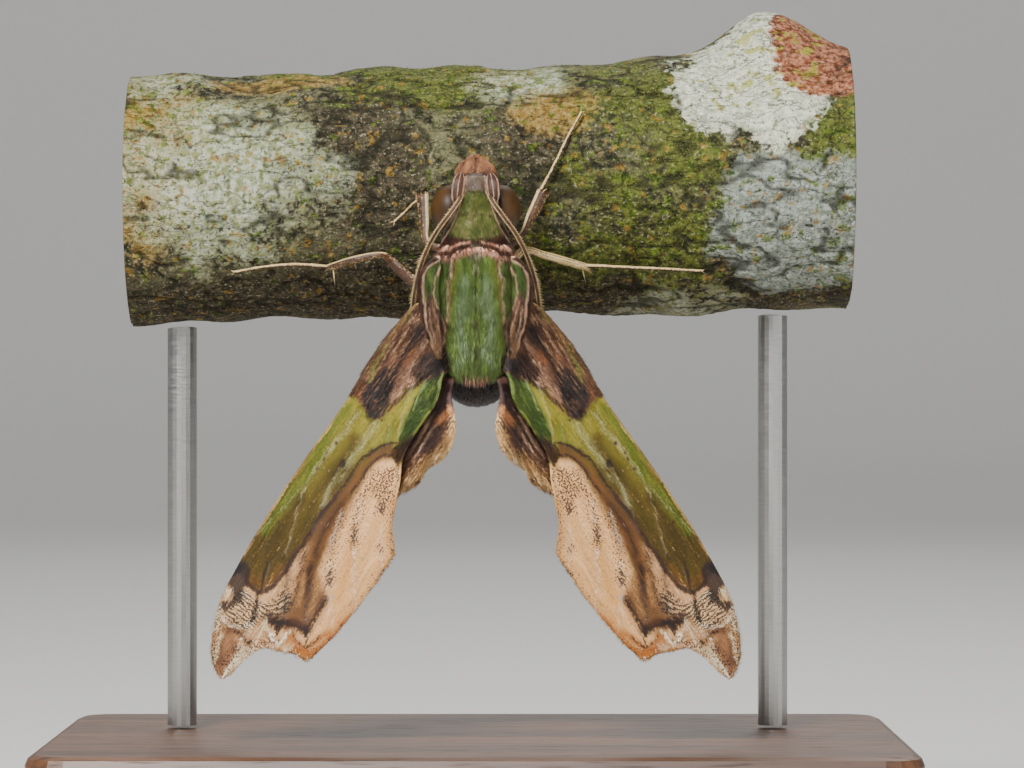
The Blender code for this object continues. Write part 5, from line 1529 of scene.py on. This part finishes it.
def makeScape(word, side, seed):
    course = makeCourse(mirrored(scape["path"], side), scape["radii"], 30, scape["flatness"])

    def marks(turn):
        # cream along both edges and down the middle, brown between
        values = {key: np.full(len(turn), -0.4) for key in bodyMarks}
        values["creamLine"] = np.maximum(np.abs(np.cos(turn)) - 0.80, 0.06 - np.abs(np.cos(turn)))
        values["collarBrown"] = np.zeros(len(turn))
        return values

    piece = limbMesh("scape_" + word, course, scape["rows"], scape["columns"], bodyFur,
                     lambda s, t: s * 0, lambda p, s, t: marks(t))
    place(piece, "green_fur")
    chance = np.random.default_rng(seed)
    share = chance.uniform(0.02, 0.97, scape["tufts"])
    turn = chance.uniform(0, 2 * math.pi, len(share))

    def surface(a, b):
        return courseSurface(course, a, b)

    growCoat("scape_fur_" + word, surface, share, turn, (np.ones(len(share)), share * 0), scape["hair"],
             lambda p: marks(turn), unrolled(share, turn), bodyFur, seed, "green_fur")


def limbMaterial():
    # Leg and feeler scales: tight dry flakes over horn, so matt cream and brown lines with a faint gloss
    material, tree, shader = newMaterial("leg and feeler scales")
    spot = addNode(tree, "TexCoord", {}, "Object")
    fine = addNode(tree, "TexNoise", {"Vector": spot, "Scale": 1 / (0.14 * mm), "Detail": 2}, "Fac")
    coarse = addNode(tree, "TexNoise", {"Vector": spot, "Scale": 1 / (0.7 * mm), "Detail": 2}, "Fac")
    line = addNode(tree, "Math", {"operation": "ADD", 0: addNode(tree, "Attribute",
        {"attribute_name": "pale"}, "Fac"), 1: addNode(tree, "Math", {"operation": "MULTIPLY_ADD", 0: fine,
        1: 0.8, 2: -0.4})})
    dark = colourOver(tree, "#3E2614", "#5C3E26", coarse, 0.35, 0.65)
    pale = addNode(tree, "Mix", {**rgba, 0: coarse, 6: "#E6CA92", 7: "#C8A874"}, 2)
    colour = colourOver(tree, dark, pale, line, 0.3, 0.6)
    tone = addNode(tree, "Math", {"operation": "MULTIPLY_ADD", 0: addNode(tree, "Attribute",
        {"attribute_name": "strand"}, "Fac"), 1: 0.5, 2: 0.75})
    tone = addNode(tree, "Math", {"operation": "MULTIPLY", 0: tone, 1: addNode(tree, "MapRange",
        {**smooth, "Value": fine, "From Min": 0.3, "From Max": 0.7, "To Min": 0.82, "To Max": 1.15})})
    colour = shaded(tree, colour, tone)
    setShader(shader, {"Base Color": colour, "Roughness": 0.5, "Specular IOR Level": 0.4})
    bumped(tree, shader, fine, 0.5, 0.04)
    return material


limbScales = limbMaterial()
antenna = {"path": ((1.0, -2.2, 8.3), (1.3, -2.9, 7.6), (2.0, -2.95, 6.6), (2.9, -2.4, 5.4), (3.6, -1.5, 4.2),
                    (4.15, -0.6, 2.9), (4.5, 0.4, 1.8), (4.75, 1.5, 0.6), (4.9, 2.5, -0.5), (5.1, 3.1, -1.8),
                    (5.4, 3.2, -3.0), (5.9, 3.0, -3.5)),
           "root": 0.235, "end": 0.13, "rings": 62, "columns": 24, "tooth": 0.30}


def makeAntenna(word, side, seed):
    count = len(antenna["path"])
    radii = np.interp(np.arange(count), (0, count * 0.7, count - 1),
                      (antenna["root"], antenna["root"], antenna["end"]))
    course = makeCourse(mirrored(antenna["path"], side), radii, 120)

    def bead(share, turn):
        return -0.05 + 0.05 * (share * antenna["rings"] % 1.0)

    def tone(points, share, turn):
        return {"pale": np.interp(np.abs(np.cos(turn)), (0.1, 0.45, 0.6, 0.78, 0.88, 1),
                                  (0.1, 0.0, 0.8, 1.0, 0.2, 0.0))}

    piece = limbMesh("antenna_scales_" + word, course, antenna["rings"] * 5, antenna["columns"],
                     limbScales, bead, tone)
    place(piece, "pale_limb", "antenna_" + word)
    ring = np.arange(antenna["rings"]).repeat(6)
    share = (ring + 0.8) / antenna["rings"] * 0.98
    outer = math.pi if side > 0 else 0.0
    spread = outer + np.tile([-0.45, -0.15, 0.15, 0.45, math.pi - 0.3, math.pi + 0.3], antenna["rings"])
    long = np.tile([1.0, 1.0, 1.0, 1.0, 0.5, 0.5], antenna["rings"])
    size = {"length": antenna["tooth"] * long, "width": 0.11, "lift": 0.85, "stray": 0.05, "thick": 0.9,
            "scale": np.interp(share, (0, 0.25, 0.45, 0.8, 1), (0.4, 0.5, 1, 1, 0.4))}

    def surface(a, b):
        return courseSurface(course, a, b, -0.05)

    growCoat("antenna_teeth_" + word, surface, share, spread, (np.full(len(share), 0.6), share * 0), size,
             lambda p: {"pale": np.ones(len(share))}, unrolled(share, spread, 0.2), limbScales, seed,
             "pale_limb")


eye = {"centre": (2.05, 0.2, 7.1), "halfWidth": 1.45, "radius": 1.9, "rows": 60, "columns": 80}


def eyeMaterial():
    # Compound eye: clear horny facets over brown pigment, so a deep glossy amber that darkens in patches
    material, tree, shader = newMaterial("compound eye")
    spot = addNode(tree, "TexCoord", {}, "Object")
    cloud = addNode(tree, "TexNoise", {"Vector": spot, "Scale": 1 / (2.2 * mm), "Detail": 2}, "Fac")
    facet = addNode(tree, "TexVoronoi", {"Scale": 1 / (0.1 * mm), "Vector": spot}, "Distance")
    inner = addNode(tree, "Attribute", {"attribute_name": "nearHead"}, "Fac")
    colour = colourOver(tree, "#36220A", "#4E3412", cloud, 0.35, 0.65)
    colour = colourOver(tree, colour, "#2A1710", inner, 0.25, 0.75, 0.9)
    colour = colourOver(tree, colour, "#3E2812", facet, 0.3, 0.7, 0.35)
    setShader(shader, {"Base Color": colour, "Roughness": 0.5, "Specular IOR Level": 0.3, "Coat Weight": 0.05,
                       "Coat Roughness": 0.3})
    bumped(tree, shader, facet, 0.25, -0.03)
    return material


def makeEye(word, side, material):
    tilt, turn = ringPlaces(0.02, math.pi - 0.02, eye["rows"], eye["columns"])
    ball = np.stack([np.cos(tilt), np.sin(tilt) * np.cos(turn), np.sin(tilt) * np.sin(turn)], axis=1)
    points = ball * np.array([eye["halfWidth"], eye["radius"], eye["radius"]])
    points[:, 0] = side * (points[:, 0] + eye["centre"][0])
    points[:, 1:] += np.array(eye["centre"][1:])
    nearHead = np.clip(0.55 - ball[:, 0] * 0.8, 0, 1)
    faces = gridFaces(eye["rows"], eye["columns"], True)
    piece = buildMesh("eye_facets_" + word, points + mothOrigin, faces if side > 0 else faces[:, ::-1],
                      material, {"nearHead": nearHead},
                      {"skinMap": np.stack([tilt / 3.2, turn / 6.3], axis=1)})
    place(piece, "eye", "eye_" + word)


eyeFinish = eyeMaterial()
for side, word in ((1, "right"), (-1, "left")):
    makePalp(word, side, 70 + side)
    makeScape(word, side, 75 + side)
    makeAntenna(word, side, 80 + side)
    makeEye(word, side, eyeFinish)
print("head parts made")

# Legs

legRoot = 1.2


def barkDepth(x, z, clearance):
    # depth at which a foot of this clearance stands off the front of the bark
    turn = math.pi
    height = z + mothOrigin[2] - perch["z"] - perch["rise"] * x
    for _ in range(8):
        reach = perchRadius(x, turn) + clearance
        turn = math.pi - math.asin(max(-0.99, min(0.99, height / reach)))
    return perch["y"] + reach * math.cos(turn) - mothOrigin[1]


def barkUnderside(x, y, clearance):
    # height at which a foot of this clearance stands off the underside of the bark
    turn = 1.5 * math.pi
    width = y + mothOrigin[1] - perch["y"]
    for _ in range(8):
        reach = perchRadius(x, turn) + clearance
        turn = 1.5 * math.pi + math.asin(max(-0.99, min(0.99, width / reach)))
    return perch["z"] + perch["rise"] * x + reach * math.sin(turn) - mothOrigin[2]


def onBark(x, z, radius):
    return (x, barkDepth(x, z, radius + 0.12), z)


# How pale most legs are round the tibia, from the side away from the cream line to the line itself
plainStripes = (0.42, 0.3, 0.2, 0.42, 0.05, 0.05, 1, 1)

# Each leg: path and radii of femur and tibia, path of the tarsus, where the tibia starts, how far its blade
# of scales stands out on the side away from the cream line, and spurs as root share, direction and length
legs = {
    "fore_right": {
        "path": [(1.3, legRoot, 3.7), (2.2, 2.6, 4.2), (3.35, 3.0, 5.0), (4.25, 3.9, 6.9), (5.05, 4.5, 8.7)],
        "radii": [0.5, 0.45, 0.24, 0.27, 0.30], "knee": 0.44, "stripes": plainStripes,
        "blade": 0.42, "fringe": 0.75, "creamSide": -1,
        "foot": [(4.9, 4.45, 8.55), (5.35, 4.6, 9.3), onBark(6.3, 11.1, 0.28), onBark(7.3, 13.2, 0.2),
                 onBark(8.35, 15.1, 0.16)],
        "spurs": [(0.97, (0.75, -0.2, 0.5), 0.9)]},
    "fore_left": {
        "path": [(-1.3, legRoot, 3.7), (-2.5, 2.7, 4.0), (-3.75, 2.9, 4.6), (-3.98, 3.5, 6.4),
                 (-4.08, 4.0, 8.4)],
        "radii": [0.5, 0.45, 0.24, 0.30, 0.34], "knee": 0.42, "stripes": plainStripes,
        "blade": 0.30, "fringe": 0.4, "creamSide": 1,
        "foot": [(-4.15, 4.05, 8.3), (-4.9, 4.35, 7.75), onBark(-5.75, 7.0, 0.2), onBark(-6.5, 6.35, 0.16)],
        "spurs": [(0.97, (-0.6, -0.2, 0.7), 0.6)]},
    "mid_right": {
        "path": [(1.6, legRoot, 1.6), (2.5, 4.1, 2.5), (3.6, 4.6, 4.05), onBark(5.6, 3.7, 0.58),
                 onBark(8.7, 2.9, 0.33)],
        "radii": [0.5, 0.46, 0.26, 0.28, 0.22], "knee": 0.38, "stripes": (0.95, 1, 0.2, 1, 1, 0.15, 1, 1),
        "blade": 0.10, "fringe": 0.7, "creamSide": -1,
        "foot": [onBark(8.5, 2.95, 0.30), onBark(12.0, 2.8, 0.2), onBark(15.2, 2.65, 0.18),
                 onBark(18.0, 2.5, 0.14)],
        "spurs": [(0.96, (0.25, 0.1, -1.0), 1.6), (0.98, (1.0, 0.0, -0.12), 1.2)]},
    "mid_left": {
        "path": [(-1.6, legRoot, 1.2), (-3.0, 3.9, 1.2), (-5.0, 4.6, 1.7), (-6.6, 4.9, 3.1),
                 onBark(-7.4, 3.75, 0.58), onBark(-9.8, 3.4, 0.43), onBark(-11.9, 2.8, 0.30)],
        "radii": [0.5, 0.5, 0.46, 0.38, 0.24, 0.26, 0.2], "knee": 0.62, "stripes": plainStripes,
        "blade": 0.08, "fringe": 0.6, "creamSide": 1,
        "foot": [onBark(-11.7, 2.85, 0.28), onBark(-14.6, 3.0, 0.2), onBark(-16.9, 2.8, 0.18),
                 onBark(-19.3, 2.4, 0.14)],
        "spurs": [(0.96, (0.1, 0.1, -1.0), 1.4), (0.98, (-1.0, 0.0, -0.15), 1.0)]},
}


def hindLeg(side):
    spots = ((4.6, 9.9, 1.2), (4.7, 12.6, 0.5), (4.72, 12.4, 0.48), (4.8, 15.7, 0.36), (4.9, 18.3, 0.32),
             (5.0, 20.6, 0.28))
    places = [(side * x, y, barkUnderside(side * x, y, clearance)) for x, y, clearance in spots]
    path = mirrored([(1.5, legRoot, -0.9), (2.3, 4.3, -1.4), (3.6, 5.4, -2.5), (4.4, 5.9, -3.1),
                     (4.5, 7.6, -2.3)], side)
    return {"path": path + places[:2], "radii": [0.5, 0.5, 0.45, 0.34, 0.24, 0.26, 0.22], "knee": 0.5,
            "stripes": plainStripes, "blade": 0.1, "fringe": 0.5, "creamSide": -side, "foot": places[2:],
            "spurs": [(0.97, (side * 0.3, 0.5, -0.8), 1.2)]}


legs["hind_right"], legs["hind_left"] = hindLeg(1), hindLeg(-1)
legCoat = {"tibia": 3200, "femur": 900, "tarsus": 900, "length": 0.42, "width": 0.055, "lift": 0.10,
           "legGrid": (200, 24), "tarsusGrid": (120, 14),
           "tarsusHair": {"length": 0.16, "width": 0.04, "lift": 0.2, "stray": 0.15, "thick": 0.5}}


def makeLeg(name, leg, seed):
    limb = makeCourse(leg["path"], leg["radii"], 80, 0.62)
    tarsus = makeCourse(leg["foot"], np.linspace(0.15, 0.11, len(leg["foot"])), 60, 0.9)
    knee = leg["knee"]

    def shape(share, turn):
        # the blade widens evenly from the knee to the tibia's cut end, on one side only
        away = np.clip(-np.cos(turn) * leg["creamSide"], 0, 1)
        return leg["blade"] * np.clip((share - knee) / (1 - knee), 0, 1) ** 0.6 * away

    def lines(points, share, turn):
        # a broad cream line along one edge, then brown with a thin cream line in it
        across = np.cos(turn) * leg["creamSide"]
        stripe = np.interp(across, (-1, -0.8, -0.45, -0.3, -0.15, 0.3, 0.42, 1), leg["stripes"])
        return {"pale": np.where(share > knee, stripe, 0.05 + stripe * 0.3)}

    def segments(share, turn):
        # five short tarsus segments, each a little wider at its far end
        return 0.03 * ((share * 5) % 1.0) - 0.02

    def plain(points, share, turn):
        return {"pale": 0.55 + 0.45 * np.cos(turn) * leg["creamSide"]}

    place(limbMesh("leg_scales_" + name, limb, *legCoat["legGrid"], limbScales, shape, lines), "pale_limb",
          "leg_" + name)
    place(limbMesh("tarsus_scales_" + name, tarsus, *legCoat["tarsusGrid"], limbScales, segments, plain),
          "pale_limb")
    chance = np.random.default_rng(seed)
    share = np.concatenate([chance.uniform(knee, 0.99, legCoat["tibia"]),
                            chance.uniform(0.1, knee, legCoat["femur"])])
    turn = chance.uniform(0, 2 * math.pi, len(share))
    edge = math.pi if leg["creamSide"] > 0 else 0.0
    fringed = (chance.uniform(0, 1, len(share)) < 0.3) & (share > knee)
    turn[fringed] = edge + chance.normal(0, 0.3, fringed.sum())

    def surface(a, b):
        return courseSurface(limb, a, b, shape(a, b) - 0.02)

    ahead = np.clip((share - knee) / (1 - knee), 0, 1)
    size = {"length": legCoat["length"] * np.where(fringed, leg["fringe"] + 0.6 * ahead ** 3, 0.6),
            "width": legCoat["width"], "lift": np.where(fringed, 0.35, legCoat["lift"]), "stray": 0.12,
            "thick": 0.5}
    growCoat("leg_fur_" + name, surface, share, turn, (np.ones(len(share)), share * 0), size,
             lambda p: lines(p, share, turn), unrolled(share, turn), limbScales, seed, "pale_limb")
    share = chance.uniform(0.02, 0.97, legCoat["tarsus"])
    turn = chance.uniform(0, 2 * math.pi, len(share))
    growCoat("tarsus_fur_" + name, lambda a, b: courseSurface(tarsus, a, b, -0.02), share, turn,
             (np.ones(len(share)), share * 0), legCoat["tarsusHair"], lambda p: plain(p, share, turn),
             unrolled(share, turn), limbScales, seed + 20, "pale_limb")
    makeSpurs(name, limb, tarsus, leg, seed)


def makeSpurs(name, limb, tarsus, leg, seed):
    # pointed spurs at the end of the tibia and two claws at the foot's tip
    steps = np.linspace(0, 1, len(limb["radius"]))
    last = unit((tarsus["centres"][-1] - tarsus["centres"][-4])[None])[0]
    spurs = leg["spurs"]
    roots = [[np.interp(share, steps, limb["centres"][:, i]) for i in range(3)] for share, _, _ in spurs]
    roots = np.array(roots + [tarsus["centres"][-2]] * 2)
    claws = [last + tarsus["sides"][-1] * k for k in (0.6, -0.6)]
    ways = unit(np.array([way for _, way, _ in spurs] + claws, float))
    normals = unit(np.cross(ways, np.cross((0.0, -1.0, 0.0), ways)))
    size = {"length": np.array([length for _, _, length in spurs] + [0.42, 0.42]),
            "width": np.array([0.16] * len(spurs) + [0.09, 0.09]), "lift": 0.05, "stray": 0.0,
            "thick": 1.0, "bent": 1}
    piece = growTufts("leg_spurs_" + name, roots, normals, ways, size, {"pale": np.full(len(roots), 0.8)},
                      np.full((len(roots), 2), 0.5), limbScales, seed)
    place(piece, "pale_limb")


for seed, (name, leg) in enumerate(legs.items(), 90):
    makeLeg(name, leg, seed)
print("legs made")
